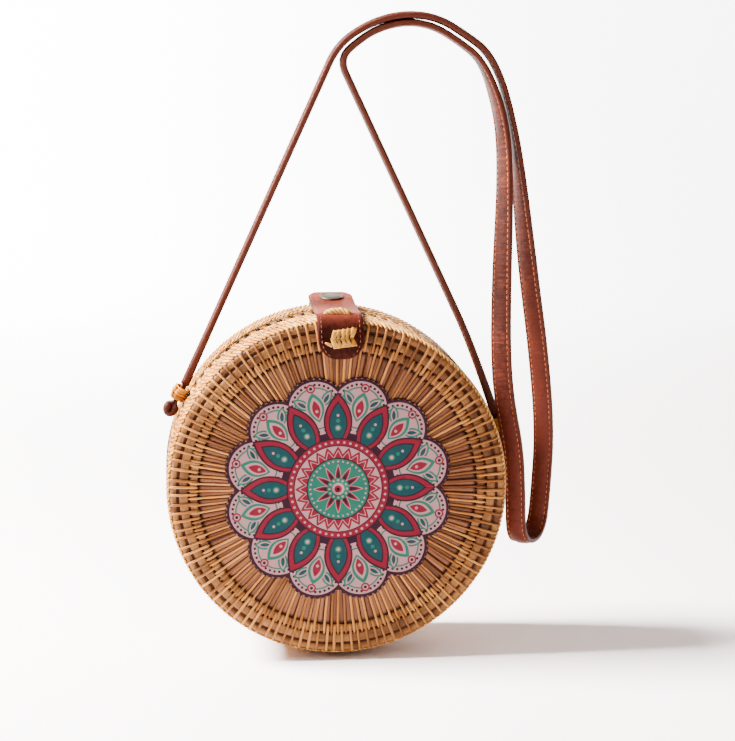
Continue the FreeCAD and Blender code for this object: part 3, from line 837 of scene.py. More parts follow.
@dataclass
class Finishes:
    """All the finishes, built once."""

    reed: bpy.types.Material
    coil: bpy.types.Material
    wall: bpy.types.Material
    splint: bpy.types.Material
    gap: bpy.types.Material
    raffia: bpy.types.Material
    lashing: bpy.types.Material
    strap: bpy.types.Material
    flap: bpy.types.Material
    strap_thread: bpy.types.Material
    flap_thread: bpy.types.Material
    metal: bpy.types.Material
    lining: bpy.types.Material
    rosette: bpy.types.Material
    floor: bpy.types.Material

    @staticmethod
    def made() -> "Finishes":
        """Builds every finish of the bag and the studio floor.

        Returns:
            The finishes.
        """
        return Finishes(
            # Reed, coil and splint slopes paint shade towards the right and the top of the bag.
            reed=StrandFinish(
                "varnished_reed", linear(66, 34, 13), linear(110, 65, 27), linear(156, 104, 50), linear(26, 11, 4),
                roughness=0.42, streak_length=18.0, streak_count=3.0, relief=0.06, painted_light_slope=(1.0, 0.8)).build(),
            coil=StrandFinish(
                "flat_coil", linear(54, 30, 14), linear(87, 53, 26), linear(122, 81, 42), linear(26, 11, 4),
                roughness=0.5, streak_length=12.0, streak_count=6.0, relief=0.08, painted_light_slope=(1.0, 0.8)).build(),
            # The wall's negative slopes paint light on its shaded right side and top.
            wall=StrandFinish(
                "wrapped_reed", linear(146, 88, 22), linear(180, 119, 48), linear(210, 156, 92), linear(34, 13, 4),
                roughness=0.5, streak_length=7.0, streak_count=3.0, relief=0.06, sheen=0.015,
                painted_light_slope=(-2.5, -0.8)).build(),
            splint=StrandFinish(
                "dark_splint", linear(60, 34, 23), linear(88, 53, 36), linear(114, 73, 50), linear(18, 8, 4),
                roughness=0.5, streak_length=26.0, streak_count=7.0, relief=0.08, painted_light_slope=(1.0, 0.8)).build(),
            gap=StrandFinish(
                "shaded_gap", linear(44, 18, 7), linear(58, 26, 10), linear(72, 34, 15), linear(18, 8, 4),
                roughness=0.7, streak_length=26.0, streak_count=7.0, relief=0.04).build(),
            raffia=StrandFinish(
                "raffia", linear(108, 64, 15), linear(142, 95, 29), linear(170, 122, 50), linear(32, 13, 4),
                roughness=0.5, streak_length=9.0, streak_count=6.0, relief=0.12).build(),
            lashing=StrandFinish(
                "lashing_raffia", linear(104, 54, 0), linear(136, 80, 1), linear(164, 105, 4), linear(40, 16, 4),
                roughness=0.5, streak_length=7.0, streak_count=6.0, relief=0.14).build(),
            strap=LeatherFinish(
                "cognac_leather", linear(32, 9, 4), linear(56, 19, 9), linear(86, 35, 19),
                edge=linear(64, 24, 12), worn=linear(80, 32, 22), roughness=0.46, sheen=0.08, grain=1.3,
                wrinkle=3.4).build(),
            flap=LeatherFinish(
                "brown_leather", linear(16, 4, 2), linear(34, 10, 6), linear(64, 22, 15),
                edge=linear(52, 19, 12), worn=linear(112, 50, 36), roughness=0.46, sheen=0.015, grain=0.5).build(),
            strap_thread=StrandFinish(
                "strap_thread", linear(112, 58, 32), linear(146, 84, 50), linear(170, 106, 68), linear(30, 12, 6),
                roughness=0.6, streak_length=4.0, streak_count=3.0, relief=0.03).build(),
            flap_thread=StrandFinish(
                "flap_thread", linear(82, 38, 28), linear(106, 54, 42), linear(126, 70, 56), linear(40, 18, 12),
                roughness=0.6, streak_length=4.0, streak_count=3.0, relief=0.03).build(),
            metal=MetalFinish(
                "antique_metal", dull=linear(62, 53, 42), worn=linear(108, 98, 82), roughness=0.4).build(),
            lining=ClothFinish(
                "cotton_lining", dark=linear(100, 84, 62), light=linear(128, 110, 84), thread=1.1).build(),
            rosette=RosettePrint(
                "rosette_print", plum=linear(28, 9, 20), crimson=linear(86, 12, 28), teal=linear(20, 72, 60),
                deep_teal=linear(10, 42, 46), cream=linear(122, 90, 92)).build(),
            floor=FloorFinish(
                "studio_paper", shade=linear(244, 240, 240), light=linear(248, 244, 244), glow=(1.0, 0.98, 0.98, 1.0),
                glow_strength=12.0, glow_depth=(0.25, 1.9), glow_half_width=(0.8, 1.3), glow_top=(0.15, 0.5)).build(),
        )


def polar(radius: Array, turn: Array, inset: Array, side: Side) -> Array:
    """Points from radius r, angle t and inset: (r cos t, side * (half depth - inset), r sin t)."""
    radius, turn, inset = np.broadcast_arrays(radius, turn, inset)
    return np.stack([radius * np.cos(turn), side.value * (HALF_DEPTH - inset), radius * np.sin(turn)], axis=-1)


def outward(turn: Array) -> Array:
    """Unit radial directions at an angle."""
    return np.stack([np.cos(turn), np.zeros_like(turn), np.sin(turn)], axis=-1)


def dressed(piece: bpy.types.Object, body: str, slot: str, *nodes: str) -> None:
    """Lets a piece ride on a body and stand for CAD nodes, which it hides.

    Args:
        piece: the new piece.
        body: the body it rides on.
        slot: not used.
        nodes: the nodes it replaces.
    """
    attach(piece, body)
    if nodes:
        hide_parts(*nodes)


def repaint(node: str, material: bpy.types.Material) -> None:
    """Gives a finish to a CAD node that stays in view.

    Args:
        node: the node's name.
        material: its finish.
    """
    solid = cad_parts[node]
    solid.data.materials.clear()
    solid.data.materials.append(material)


@dataclass
class BasketCup:
    """One woven half of the basket: face, rounded rim, side wall, bound edge and lining."""

    side: Side
    name: str
    depth: float
    wall_rows: int
    wall_wraps: int = 224
    wall_start: float = 2.8
    wrap_half_width: float = 1.1
    slit_half_width: float = 0.52
    core_radius: float = 96.6
    core_start: float = 4.2
    rod_wraps: int = 88
    rod_width: float = 5.2
    rod_radius: float = 97.4
    rod_half: float = 2.15
    panel_top: float = 2.3
    spoke_half_width: float = 0.76
    spoke_half_height: float = 0.6
    spoke_start: float = 50.0
    splint_rise: float = 0.12
    splint_half_height: float = 0.34
    band_centres: tuple[float, float] = (84.2, 90.1)
    band_half_widths: tuple[float, float] = (2.15, 2.5)
    rung_half_width: float = 0.78
    rung_half_height: float = 0.44
    rung_sink: float = 0.62
    lining_radius: float = 94.5
    lining_inset: float = 5.0
    lining_half: float = 0.22
    seed: int = 11

    def __post_init__(self) -> None:
        """Seeds the cup's own random draws."""
        self.random = np.random.default_rng(self.seed + self.side.value)

    @property
    def body(self) -> str:
        """The body that this half rides on."""
        return self.name + "_half"

    def face_normal(self) -> Array:
        """Outward direction of the face."""
        return np.array([0.0, float(self.side.value), 0.0])

    def turns(self, count: int, shift: float, jitter: float) -> Array:
        """Angles of evenly spaced strands (count, 1), shifted by a share of the pitch, with jitter in degrees."""
        return ((np.arange(count) + shift) / count * 2 * np.pi
                + self.random.normal(0, math.radians(jitter), count))[:, None]

    def radial_strands(self, count: int, shift: float, stops: Array,
                       half_width: Array, half_height: float, jitter: float, squareness: float) -> Surface:
        """Strands along radii of the face, each with its own slight wander, height and width.

        Args:
            count: number of strands.
            shift: share of a pitch by which they are turned.
            stops: radius, inset and painted shade at tucked places along each strand (M, 3).
            half_width: half width at each stop.
            half_height: half height.
            jitter: scatter of the angles in degrees.
            squareness: shape of the section.

        Returns:
            The strands.
        """
        radius, inset, tuck = stops.T
        turn = self.turns(count, shift, jitter)
        wander = np.cumsum(self.random.normal(0, 0.09, (count, len(radius))), axis=1) / np.maximum(radius, 1.0)
        lift = self.random.normal(0, 0.07, (count, 1))
        paths = polar(radius, turn + wander, inset + lift, self.side)
        width = half_width * self.random.uniform(0.86, 1.12, (count, 1))
        return sweep(paths, self.face_normal(), width, half_height, round_section(6, squareness),
                     tone=self.random.uniform(0, 1, count), tuck=tuck)

    def band(self, centre: float, half_width: float, inset: float, half_height: float, waves: int,
             depth: float) -> Surface:
        """Flat coil of the face: a closed ring that dips by a cosine wave, with a tone for each square.

        Args:
            centre: radius of its middle.
            half_width: half its width.
            inset: inset of its middle.
            half_height: half its thickness.
            waves: number of dips.
            depth: depth of a dip.

        Returns:
            The coil.
        """
        steps = 4
        turn = circle(REEDS * steps)
        dip = depth * 0.5 * (1 + np.cos((turn - np.pi / REEDS) * waves))
        draws = np.repeat(self.random.uniform(-1, 1, (3, REEDS)), steps, axis=1)
        place, width, tone = np.roll(draws, steps // 2, axis=1)
        path = polar(centre + 0.12 * place, turn, inset + dip, self.side)[None]
        section = round_section(10, 0.7)
        ring = sweep(path, self.face_normal(), half_width * (1 + 0.07 * width), half_height, section, closed=True)
        ring.values["tone"] = np.repeat(0.45 + 0.45 * tone, len(section))
        return ring

    def rear_middle(self, top: float) -> tuple[list[Surface], list[Surface]]:
        """Middle of the rear face: short reeds inside a ring, round a coiled centre.

        Args:
            top: inset of the reeds' middle lines.

        Returns:
            The reeds and coils, and the splints under them.
        """
        count = REEDS // 2
        low = self.panel_top - self.splint_rise
        reeds = np.array([(15.4, top, 0.9), (18.0, top, 0.1), (30.0, top, 0.0), (43.0, top, 0.1),
                          (45.6, top + 0.6, 0.9)])
        under = np.array([(15.4, low, 0.9), (22.0, low, 0.1), (34.0, low, 0.0), (45.4, low, 0.9)])
        parts = [self.radial_strands(count, 0.0, reeds, np.full(len(reeds), self.spoke_half_width),
                                     self.spoke_half_height, 0.2, 0.85)]
        splints = [self.radial_strands(count, 0.5, under, under[:, 0] * 2 * math.pi / REEDS - 0.6,
                                       self.splint_half_height, 0.1, 0.6)]
        parts.append(self.band(self.spoke_start - 2.4, 2.0, 1.1, 0.9, REEDS, 0.15))
        parts += [self.band(r, 1.55, 1.0 - 0.02 * r, 0.85, 24, 0.2) for r in (14.0, 10.9, 7.8, 4.7)]
        parts.append(self.band(1.7, 1.55, 0.95, 0.85, 1, 0.0))
        return parts, splints

    def build_face(self, looks: Finishes) -> None:
        """Radial reeds over darker splints, with two coils near the rim.

        Args:
            looks: the finishes.
        """
        top = self.panel_top - self.spoke_half_height
        low = self.panel_top - self.splint_rise
        # Radius, inset and painted shade: along the panel, up over the inner coil, and down behind it, where painted
        # shade darkens the reed.
        reeds = np.array([(self.spoke_start - 4, top, 0.9), (self.spoke_start + 2, top, 0.15), (62.0, top, 0.0),
                          (72.0, top, 0.0), (79.2, top, 0.0), (81.2, top - 0.45, 0.0), (82.7, 0.56, 0.0),
                          (85.2, 0.5, 0.0), (86.5, 0.7, 0.1), (87.8, 1.7, 0.9)])
        under = np.array([(self.spoke_start - 4, low, 0.9), (self.spoke_start + 3, low, 0.2), (66.0, low, 0.05),
                          (79.0, low, 0.1), (81.6, low, 0.95)])
        width = self.spoke_half_width * np.array([0.8, 0.95, 1, 1, 1, 1, 1, 0.95, 0.8, 0.55])
        parts = [self.radial_strands(REEDS, 0.0, reeds, width, self.spoke_half_height, 0.3, 0.85)]
        splints = [self.radial_strands(REEDS, 0.5, under, under[:, 0] * math.pi / REEDS - 0.66,
                                       self.splint_half_height, 0.1, 0.6)]
        if self.side is Side.REAR:
            more_parts, more_splints = self.rear_middle(top)
            parts += more_parts
            splints += more_splints
        spokes = Surface.joined(parts).to_object(self.name + "_spoke_reeds", looks.reed)
        dressed(spokes, self.body, "reed", self.name + "_spokes")
        under_spokes = Surface.joined(splints).to_object(self.name + "_splints", looks.splint)
        dressed(under_spokes, self.body, "splint")
        bands = [self.band(centre, half, 1.5, 0.72, REEDS, 0.4)
                 for centre, half in zip(self.band_centres, self.band_half_widths)]
        edge = self.ring(96.0, 3.75, 2.1, 2.1, 0.3, REEDS * 4)
        per_reed = len(edge.points) // REEDS
        edge.values["tone"] = np.roll(np.repeat(self.random.uniform(0.1, 1.0, REEDS), per_reed), per_reed // 2)
        coils = Surface.joined(bands + [edge]).to_object(self.name + "_band_coils", looks.coil)
        dressed(coils, self.body, "splint", self.name + "_coils")
        # The face panel, seen only between the strands, is painted dark as shade.
        repaint(self.name + "_face_panel", looks.gap)

    def build_rim(self, looks: Finishes) -> None:
        """Reeds that start between the spokes, cross both coils and turn over the rounded edge.

        Args:
            looks: the finishes.
        """
        arc = np.radians(np.linspace(0, 55, 6))
        centre = BAG_RADIUS - EDGE_RADIUS
        bend = EDGE_RADIUS - self.rung_sink
        flat = np.array([(81.4, 2.0, 1.0), (82.2, 1.1, 0.5), (83.6, 0.52, 0.0), (87.0, 0.62, 0.0), (90.4, 0.5, 0.0)])
        turned = np.stack([centre + bend * np.sin(arc), EDGE_RADIUS - bend * np.cos(arc), np.zeros(6)], axis=-1)
        wall = np.array([(98.95, 4.2, 0.1), (98.7, 5.4, 0.5), (98.2, 6.8, 1.0)])
        stops = np.concatenate([flat, turned, wall])
        turn = self.turns(REEDS, 0.5, 0.22)
        pitch = 2 * np.pi / REEDS
        slant = pitch * 0.5 * eased(stops[:, 1], 1.5, 6.8)
        paths = polar(stops[:, 0], turn + slant, stops[:, 1], self.side)
        turned_share = eased(stops[:, 0], centre, BAG_RADIUS - 0.6)[None, :, None]
        up = outward(turn + 0 * stops[:, 0]) * turned_share + self.face_normal() * (1 - turned_share)
        width = self.rung_half_width * np.array([0.5, 0.8] + [1.0] * 9 + [1.2, 1.1, 0.7])
        wraps = sweep(paths, up, width * self.random.uniform(0.84, 1.16, (REEDS, 1)), self.rung_half_height,
                      round_section(6, 0.85), tone=self.random.uniform(0.1, 1, REEDS), tuck=stops[:, 2])
        piece = wraps.to_object(self.name + "_rim_reeds", looks.reed)
        dressed(piece, self.body, "reed", self.name + "_rim_wraps")

    def ring(self, radius: float, inset: float, half_along: float, half_radial: float, tone: float,
             steps: int = 200) -> Surface:
        """Closed coil round the wall with an oval section.

        Args:
            radius: radius of its middle.
            inset: inset of its middle.
            half_along: half its size along Y.
            half_radial: half its size along the radius.
            tone: value for the finish.
            steps: number of steps round it.

        Returns:
            The coil.
        """
        turn = circle(steps)
        path = polar(np.full_like(turn, radius), turn, np.full_like(turn, inset), self.side)[None]
        return sweep(path, outward(turn)[None], half_along, half_radial, round_section(10, 0.8), closed=True,
                     tone=np.array([tone]))

    def skin(self, inset: Array) -> Array:
        """Radius of the outer skin at an inset: the arc of the round edge, then the straight wall."""
        short = np.clip(EDGE_RADIUS - inset, 0, EDGE_RADIUS)
        return BAG_RADIUS - EDGE_RADIUS + np.sqrt(EDGE_RADIUS ** 2 - short ** 2)

    def wall_row(self, row: int, middle: float, half: float) -> Surface:
        """Slanted wraps of one coil of the wall; every other row has dark slits, painted shade in the gaps where it
        meets the next row.

        Args:
            row: number of the row, which sets the wraps' offset.
            middle: inset of the coil's middle.
            half: half the row's height.

        Returns:
            The wraps and the painted shade slits of the row.
        """
        count = self.wall_wraps
        pitch = 2 * np.pi / count
        q = np.array([-1.0, -0.7, 0.0, 0.7, 1.0])
        turn = self.turns(count, 0.5 * (row % 2), 0.08)
        inset = middle + q * (half + 0.4) + self.random.normal(0, 0.08, (count, 1))
        radius = self.skin(inset) - 0.5 - 0.15 * q * q - 0.15 * q ** 8 + self.random.normal(0, 0.03, (count, 1))
        paths = polar(radius, turn + q * pitch * 0.5, inset, self.side)
        width = self.wrap_half_width * np.array([0.6, 0.95, 1.0, 0.95, 0.6])
        width = width * self.random.uniform(0.86, 1.08, (count, 1))
        wraps = sweep(paths, outward(turn + 0 * q), width, 0.4, round_section(6, 0.8),
                      tone=self.random.uniform(0, 1, count), tuck=np.array([0.6, 0.05, 0.0, 0.05, 0.6]))
        if row % 2:
            return wraps
        # Dark slits: painted shade in the gaps between this row and the next.
        q = np.array([-1.0, 0.0, 1.0])
        turn = self.turns(count, 0.25 * row, 0.14)
        inset = middle + half + q * 1.9 + self.random.normal(0, 0.2, (count, 1))
        paths = polar(self.skin(inset) - 0.02, turn + q * pitch * 0.3, inset, self.side)
        width = self.slit_half_width * np.array([0.6, 1.0, 0.6]) * self.random.uniform(0.6, 1.2, (count, 1))
        painted_shade_slits = sweep(paths, outward(turn + 0 * q), width, 0.12, round_section(4), tuck=np.ones(3))
        return Surface.joined([wraps, painted_shade_slits])

    def build_wall(self, looks: Finishes) -> None:
        """Side wall of stacked coils, each wrapped with slanted strands, on a core; core and coils are painted dark as
        shade under the wraps.

        Args:
            looks: the finishes.
        """
        start, end = self.wall_start, self.depth - self.rod_width
        pitch = (end - start) / self.wall_rows
        core = self.ring(self.core_radius, (self.core_start + end) / 2, (end - self.core_start) / 2, 1.3, 0.1, 180)
        # Painted shade on the core, seen only between the wraps.
        core.values["tuck"] = np.full(len(core.points), 0.75)
        parts = [core]
        for row in range(self.wall_rows):
            middle = start + (row + 0.5) * pitch
            coil = self.ring(float(self.skin(np.array(middle))) - 1.8, middle, pitch / 2 - 0.1, 1.2, 0.2)
            # Painted shade on the coil under the wraps.
            coil.values["tuck"] = np.full(len(coil.points), 0.7)
            parts += [coil, self.wall_row(row, middle, pitch / 2)]
        piece = Surface.joined(parts).to_object(self.name + "_side_weave", looks.wall)
        dressed(piece, self.body, "reed", self.name + "_side_wall")

    def build_rod(self, looks: Finishes) -> None:
        """Binding rod along the open edge: a round rod with spaced closed wraps.

        Args:
            looks: the finishes.
        """
        middle = self.depth - self.rod_width / 2
        rod = self.ring(self.rod_radius, middle, self.rod_half, self.rod_half, 0.2, 220)
        # Painted shade on the rod under its wraps.
        rod.values["tuck"] = np.full(len(rod.points), 0.9)
        spin = circle(12)
        turn = self.turns(self.rod_wraps, 0.0, 0.15)
        lean = np.pi / self.rod_wraps * 0.35 * np.sin(spin)
        reach = self.rod_half + 0.1
        paths = polar(self.rod_radius + reach * np.cos(spin), turn + lean, middle + reach * np.sin(spin), self.side)
        hub = polar(self.rod_radius, turn + 0 * spin, middle, self.side)
        wraps = sweep(paths, unit(paths - hub), 2.3 * self.random.uniform(0.86, 1.12, (self.rod_wraps, 1)), 0.26,
                      round_section(6, 0.55), closed=True, tone=self.random.uniform(0.2, 1, self.rod_wraps))
        piece = Surface.joined([rod, wraps]).to_object(self.name + "_edge_binding", looks.wall)
        dressed(piece, self.body, "reed", self.name + "_rim_rod")

    def build_lining(self, looks: Finishes) -> None:
        """Cotton lining: a cloth cup inside the face and the wall, slightly puckered.

        Args:
            looks: the finishes.
        """
        end = self.depth - self.rod_width - 0.4
        back, outer = self.lining_inset, self.lining_radius
        corner = np.linspace(0, np.pi / 2, 5)
        radius = np.concatenate([np.linspace(1.0, outer - 6, 12), outer - 4 + 4 * np.sin(corner), np.full(7, outer)])
        inset = np.concatenate([np.full(12, back), back + 4 - 4 * np.cos(corner), np.linspace(back + 5.5, end, 7)])
        turn = np.linspace(0, 2 * np.pi, 97)[:, None]
        pucker = 0.16 * np.sin(turn * 24) * eased(radius, 60.0, outer)
        centre = polar(radius - 0.18 + pucker * eased(inset, back + 1, back + 6), turn,
                       inset + (pucker + 0.16) * (1 - eased(inset, back, back + 4)), self.side)
        normal = unit(np.cross(np.gradient(centre, axis=0), np.gradient(centre, axis=1)))
        cloth = slab(centre, normal, self.lining_half, np.full(centre.shape[:2], 3.0))
        piece = cloth.to_object(self.name + "_cotton_lining", looks.lining)
        dressed(piece, self.body, "lining_cloth", self.name + "_lining")

    def build(self, looks: Finishes) -> None:
        """Builds the whole cup.

        Args:
            looks: the finishes.
        """
        self.build_face(looks)
        self.build_rim(looks)
        self.build_wall(looks)
        self.build_rod(looks)
        self.build_lining(looks)


@dataclass
class PrintedPatch:
    """Cloth rosette sewn on the front face."""

    back_inset: float = 1.2
    thickness: float = 0.5
    thread_pitch: float = 3.4

    def outline(self, turn: Array) -> Array:
        """Radius of the edge: the far crossing of a ray with the petal's circle.

        Args:
            turn: the rays' angles.

        Returns:
            The radius at each angle.
        """
        step = 2 * np.pi / PETALS
        off = (turn % step) - step / 2
        reach = PETAL_CENTRE * np.sin(off)
        return PETAL_CENTRE * np.cos(off) + np.sqrt(PETAL_RADIUS ** 2 - reach ** 2)

    def build(self, looks: Finishes) -> None:
        """The cloth, faintly ribbed by the reeds below it, and the thread round its edge.

        Args:
            looks: the finishes.
        """
        turn = np.linspace(0, 2 * np.pi, PETALS * 40 + 1)[:, None]
        share = np.array([0.01, 0.12, 0.25, 0.38, 0.5, 0.62, 0.72, 0.8, 0.86, 0.91, 0.95, 0.975, 0.99, 1.0])
        edge = self.outline(turn)
        radius = share * edge
        rib = 0.04 * np.cos(turn * REEDS) * eased(radius, 48.0, 58.0)
        inset = self.back_inset - self.thickness / 2 - 0.12 - rib
        centre = polar(radius, turn, inset, Side.FRONT)
        normal = np.broadcast_to(np.array([0.0, -1.0, 0.0]), centre.shape)
        thick = np.where(share > 0.995, 0.4, 1.0) * self.thickness / 2
        cloth = slab(centre[:, ::-1], normal, thick[::-1], np.full(radius.shape, 3.0))
        flat = np.stack([centre[:, ::-1, 0], centre[:, ::-1, 2]], axis=-1).reshape(-1, 2)
        cloth.quad_uv = np.tile(flat, (2, 1))[cloth.quads]
        piece = cloth.to_object("patch_cloth", looks.rosette)
        dressed(piece, "front_half", "printed_cloth", "printed_patch")
        seam_turn = np.linspace(0, 2 * np.pi, 1200)
        line = polar(self.outline(seam_turn) - 0.55, seam_turn, self.back_inset - self.thickness - 0.16, Side.FRONT)
        seam = stitches(line, np.broadcast_to(normal[0, 0], line.shape), self.thread_pitch, 0.42, 0.34, 0.24)
        thread = seam.to_object("patch_thread", looks.splint)
        dressed(thread, "front_half", "printed_cloth")


@dataclass
class LeatherStrip:
    """Flat leather along a path in the Y-Z plane, with round ends and edge stitching."""

    half_width: float
    thickness: float
    offset: float
    first_round: float
    last_round: float
    lean: float = 0.0
    swell: float = 0.12
    seam_inset: float = 2.1
    stitch_pitch: float = 3.0

    def grid(self, path: Array) -> tuple[Array, Array, Array, Array]:
        """Centre grid of the strip: point = path + x * width(run), with width cut to round ends.

        Args:
            path: Y and Z along the strip's middle (M, 2), the outer side on the left.

        Returns:
            Grid points, normals, edge distances and the run along the strip.
        """
        run = run_along(path)
        flow = unit(np.gradient(path, axis=0))
        normal = np.stack([np.zeros(len(path)), -flow[:, 1], flow[:, 0]], axis=-1)

        def trimmed(distance: Array, radius: float) -> Array:
            """Half width near a round end."""
            short = np.clip(radius - distance, 0, radius)
            return self.half_width - radius + np.sqrt(np.maximum(radius ** 2 - short ** 2, 0))

        width = np.minimum(trimmed(run, self.first_round), trimmed(run[-1] - run, self.last_round))
        share = np.array([-1, -0.965, -0.9, -0.75, -0.5, -0.25, 0, 0.25, 0.5, 0.75, 0.9, 0.965, 1])
        x = self.offset + self.lean * (run / run[-1] - 0.4)[:, None] + width[:, None] * share
        points = np.stack([x, *np.broadcast_arrays(path[:, :1], path[:, 1:], x)[:2]], axis=-1)
        normals = np.broadcast_to(normal[:, None], points.shape)
        edge = np.minimum(width[:, None] * (1 - np.abs(share)),
                          np.minimum(run, run[-1] - run)[:, None] + 0 * x)
        return points, normals, edge, run

    def surface(self, path: Array) -> Surface:
        """The strip as a closed slab, thinner at its cut edges.

        Args:
            path: Y and Z along the strip's middle.

        Returns:
            The leather.
        """
        points, normals, edge, _ = self.grid(path)
        half = self.thickness / 2 * (0.55 + 0.45 * eased(edge, 0.0, 0.8)) + self.swell * eased(edge, 1.5, 6.0)
        return slab(points[:, ::-1], normals[:, ::-1], half[:, ::-1], edge[:, ::-1])

    def seam(self, path: Array, first: float, last: float) -> Surface:
        """Stitches along both long edges between two places on the run, bending in at round ends.

        Args:
            path: Y and Z along the strip's middle.
            first: run at which the seam starts.
            last: run at which it ends.

        Returns:
            The thread.
        """
        points, normals, _, run = self.grid(path)
        keep = (run >= first) & (run <= last)
        half = (points[:, -1, 0] - points[:, 0, 0]) / 2
        lines = []
        for sign in (-1, 1):
            line = points[:, 6].copy()
            line[:, 0] += sign * np.maximum(half - self.seam_inset, 0)
            line = line + normals[:, 6] * (self.thickness / 2 + 0.02)
            lines.append(stitches(line[keep], normals[keep, 6], self.stitch_pitch, 0.62, 0.24, 0.18))
        return Surface.joined(lines)


def straight(start: Sequence[float], end: Sequence[float], count: int) -> Array:
    """Evenly spaced points of a line, without its end."""
    return np.linspace(start, end, count, endpoint=False)


def bow(centre: Sequence[float], radius: float, first: float, last: float, count: int) -> Array:
    """Points of an arc between two angles in degrees, without its end."""
    turn = np.radians(np.linspace(first, last, count, endpoint=False))
    return np.array(centre) + radius * np.stack([np.cos(turn), np.sin(turn)], axis=-1)


@dataclass
class Closure:
    """Leather flap over the top, the rear tab, the snap and their raffia stitches."""

    flap_offset: float = 1.0
    flap_half_width: float = 13.2
    flap_thickness: float = 2.4
    tab_half_width: float = 12.7
    tab_thickness: float = 1.4
    sewn_round: float = 11.43
    tongue_round: float = 8.0
    tab_round: float = 0.6
    seat: float = 0.3
    drop: float = 23.0
    fold: float = -28.0
    bend_before: float = 4.0
    bend_after: float = 5.0
    snap: float = 12.0
    tongue_lift: float = 3.3
    tongue_past_snap: float = 13.0
    tongue_slope: float = 0.17
    fold_height: float = 104.8
    flap_lean: float = -2.4
    front_bulge: float = 2.5
    front_bend: float = 11.0
    ribbons: int = 5
    ribbon_pitch: float = 2.65
    ribbon_slant: float = 2.1
    ribbon_reach: float = 4.9
    ribbon_half_width: float = 1.5
    chevron_height: float = 12.0
    chevron_slope: float = 0.12
    bar_half_length: float = 7.9
    bar_strands: int = 3

    def front_line(self) -> Array:
        """Middle line of the flap on the front: a cubic Bezier curve up the face, bulged, and over the rim.

        Returns:
            Y and Z from the sewn end to the top of the rim.
        """
        face = -(HALF_DEPTH + self.seat + self.flap_thickness / 2)
        tip = BAG_RADIUS - self.drop
        top = BAG_RADIUS + self.seat + self.flap_thickness / 2
        knots = np.array([[face, tip], [face - self.front_bulge, tip + 7.0], [face - self.front_bulge + 0.5, top],
                          [face + self.front_bend, top]])
        t = np.concatenate([[0, 0.018, 0.045, 0.08, 0.125], np.linspace(0.18, 1, 18, endpoint=False)])[:, None]
        shares = np.concatenate([(1 - t) ** 3, 3 * t * (1 - t) ** 2, 3 * t ** 2 * (1 - t), t ** 3], axis=1)
        return shares @ knots

    def bulge(self, height: Array, side: Side) -> Array:
        """How far the front leather stands off its flat place; none at the rear.

        Args:
            height: Z of the places.
            side: the cup that carries the leather.

        Returns:
            The stand-off at each place.
        """
        line = self.front_line()
        flat = HALF_DEPTH + self.seat + self.flap_thickness / 2
        return (np.interp(height, line[:, 1], -line[:, 0]) - flat) * (side is Side.FRONT)

    def rear_path(self) -> tuple[Array, float]:
        """Middle line of the rear tab, straight up the face and round the rim.

        Returns:
            Y and Z from the lower end to the top of the rim, and the height of the top.
        """
        bend = EDGE_RADIUS + self.seat + self.tab_thickness / 2
        y, z = HALF_DEPTH - EDGE_RADIUS, BAG_RADIUS - EDGE_RADIUS
        face = HALF_DEPTH + self.seat + self.tab_thickness / 2
        tip = BAG_RADIUS - self.drop
        up = np.concatenate([np.array([[face, tip + d] for d in (0.0, 0.4, 1.0, 1.8, 2.8, 4.2, 6.0, 8.0, 10.0)]),
                             straight((face, tip + 12.0), (face, z), 5)])
        return np.concatenate([up, bow((y, z), bend, 0.0, 90.0, 9)]), z + bend

    def flap_path(self) -> Array:
        """Middle line of the whole flap: up the face, over the rim, then a cubic rise that ends straight.

        Returns:
            Y and Z from the sewn end to the end of the tongue.
        """
        path = self.front_line()
        top = BAG_RADIUS + self.seat + self.flap_thickness / 2
        start = self.fold + 0.3
        reach = self.snap - start
        t = np.linspace(0, 1, 20, endpoint=False)
        ahead = self.tongue_slope * reach
        rise = self.tongue_lift * (3 * t ** 2 - 2 * t ** 3) + ahead * (t ** 3 - t ** 2)
        ramp = np.stack([start + reach * t, top + rise], axis=-1)
        past = self.tongue_past_snap - np.array([13.0, 11.0, 9.0, 7.0, 5.0, 3.5, 2.2, 1.2, 0.5, 0.0])
        tail = np.stack([self.snap + past, top + self.tongue_lift + self.tongue_slope * past], axis=-1)
        level = straight((self.front_bend - HALF_DEPTH - self.seat - self.flap_thickness / 2, top), (start, top), 3)
        return np.concatenate([path, level, ramp, tail])

    def build_flap(self, looks: Finishes) -> None:
        """One strip of leather that bends at the raffia bar, with its edge seam.

        Args:
            looks: the finishes.
        """
        strip = LeatherStrip(self.flap_half_width, self.flap_thickness, self.flap_offset, self.sewn_round,
                             self.tongue_round, self.flap_lean)
        path = self.flap_path()
        run = run_along(path)
        bar = in_frame(np.array([self.flap_offset, self.fold, self.fold_height]))
        start = bar - np.array([0, self.bend_before * MM, 0])
        end = bar + np.array([0, self.bend_after * MM, 0])
        leather = strip.surface(path)
        # Paler towards the flap's top: partly wear, partly painted light on the upward-facing top.
        worn = eased(run, 17.0, 38.0)
        leather.values["wear"] = np.repeat(np.tile(worn, 2), len(leather.points) // (2 * len(run)))
        flap = leather.to_object("flap_leather", looks.flap)
        seam = strip.seam(path, 1.9, run[-1] - 1.9).to_object("flap_thread", looks.flap_thread)
        for piece in (flap, seam):
            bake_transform(piece)
        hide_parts("flap_sewn_end", "flap_tongue")

    def build_tab(self, looks: Finishes) -> None:
        """Rear leather tab that carries the snap's stud.

        Args:
            looks: the finishes.
        """
        strip = LeatherStrip(self.tab_half_width, self.tab_thickness, self.flap_offset, self.sewn_round, self.tab_round)
        path, top = self.rear_path()
        level = np.array([[y, top] for y in (34.0, 28.0, 22.0, 16.0, 10.0, 6.0, 4.0, 3.4, 3.0)])
        points, normals, edge, _ = strip.grid(np.concatenate([path, level]))
        half = self.tab_thickness / 2 * (0.55 + 0.45 * eased(edge, 0.0, 0.8))
        tab = slab(points, -normals, half, edge).to_object("tab_leather", looks.flap)
        dressed(tab, "rear_half", "flap_leather", "rear_tab")

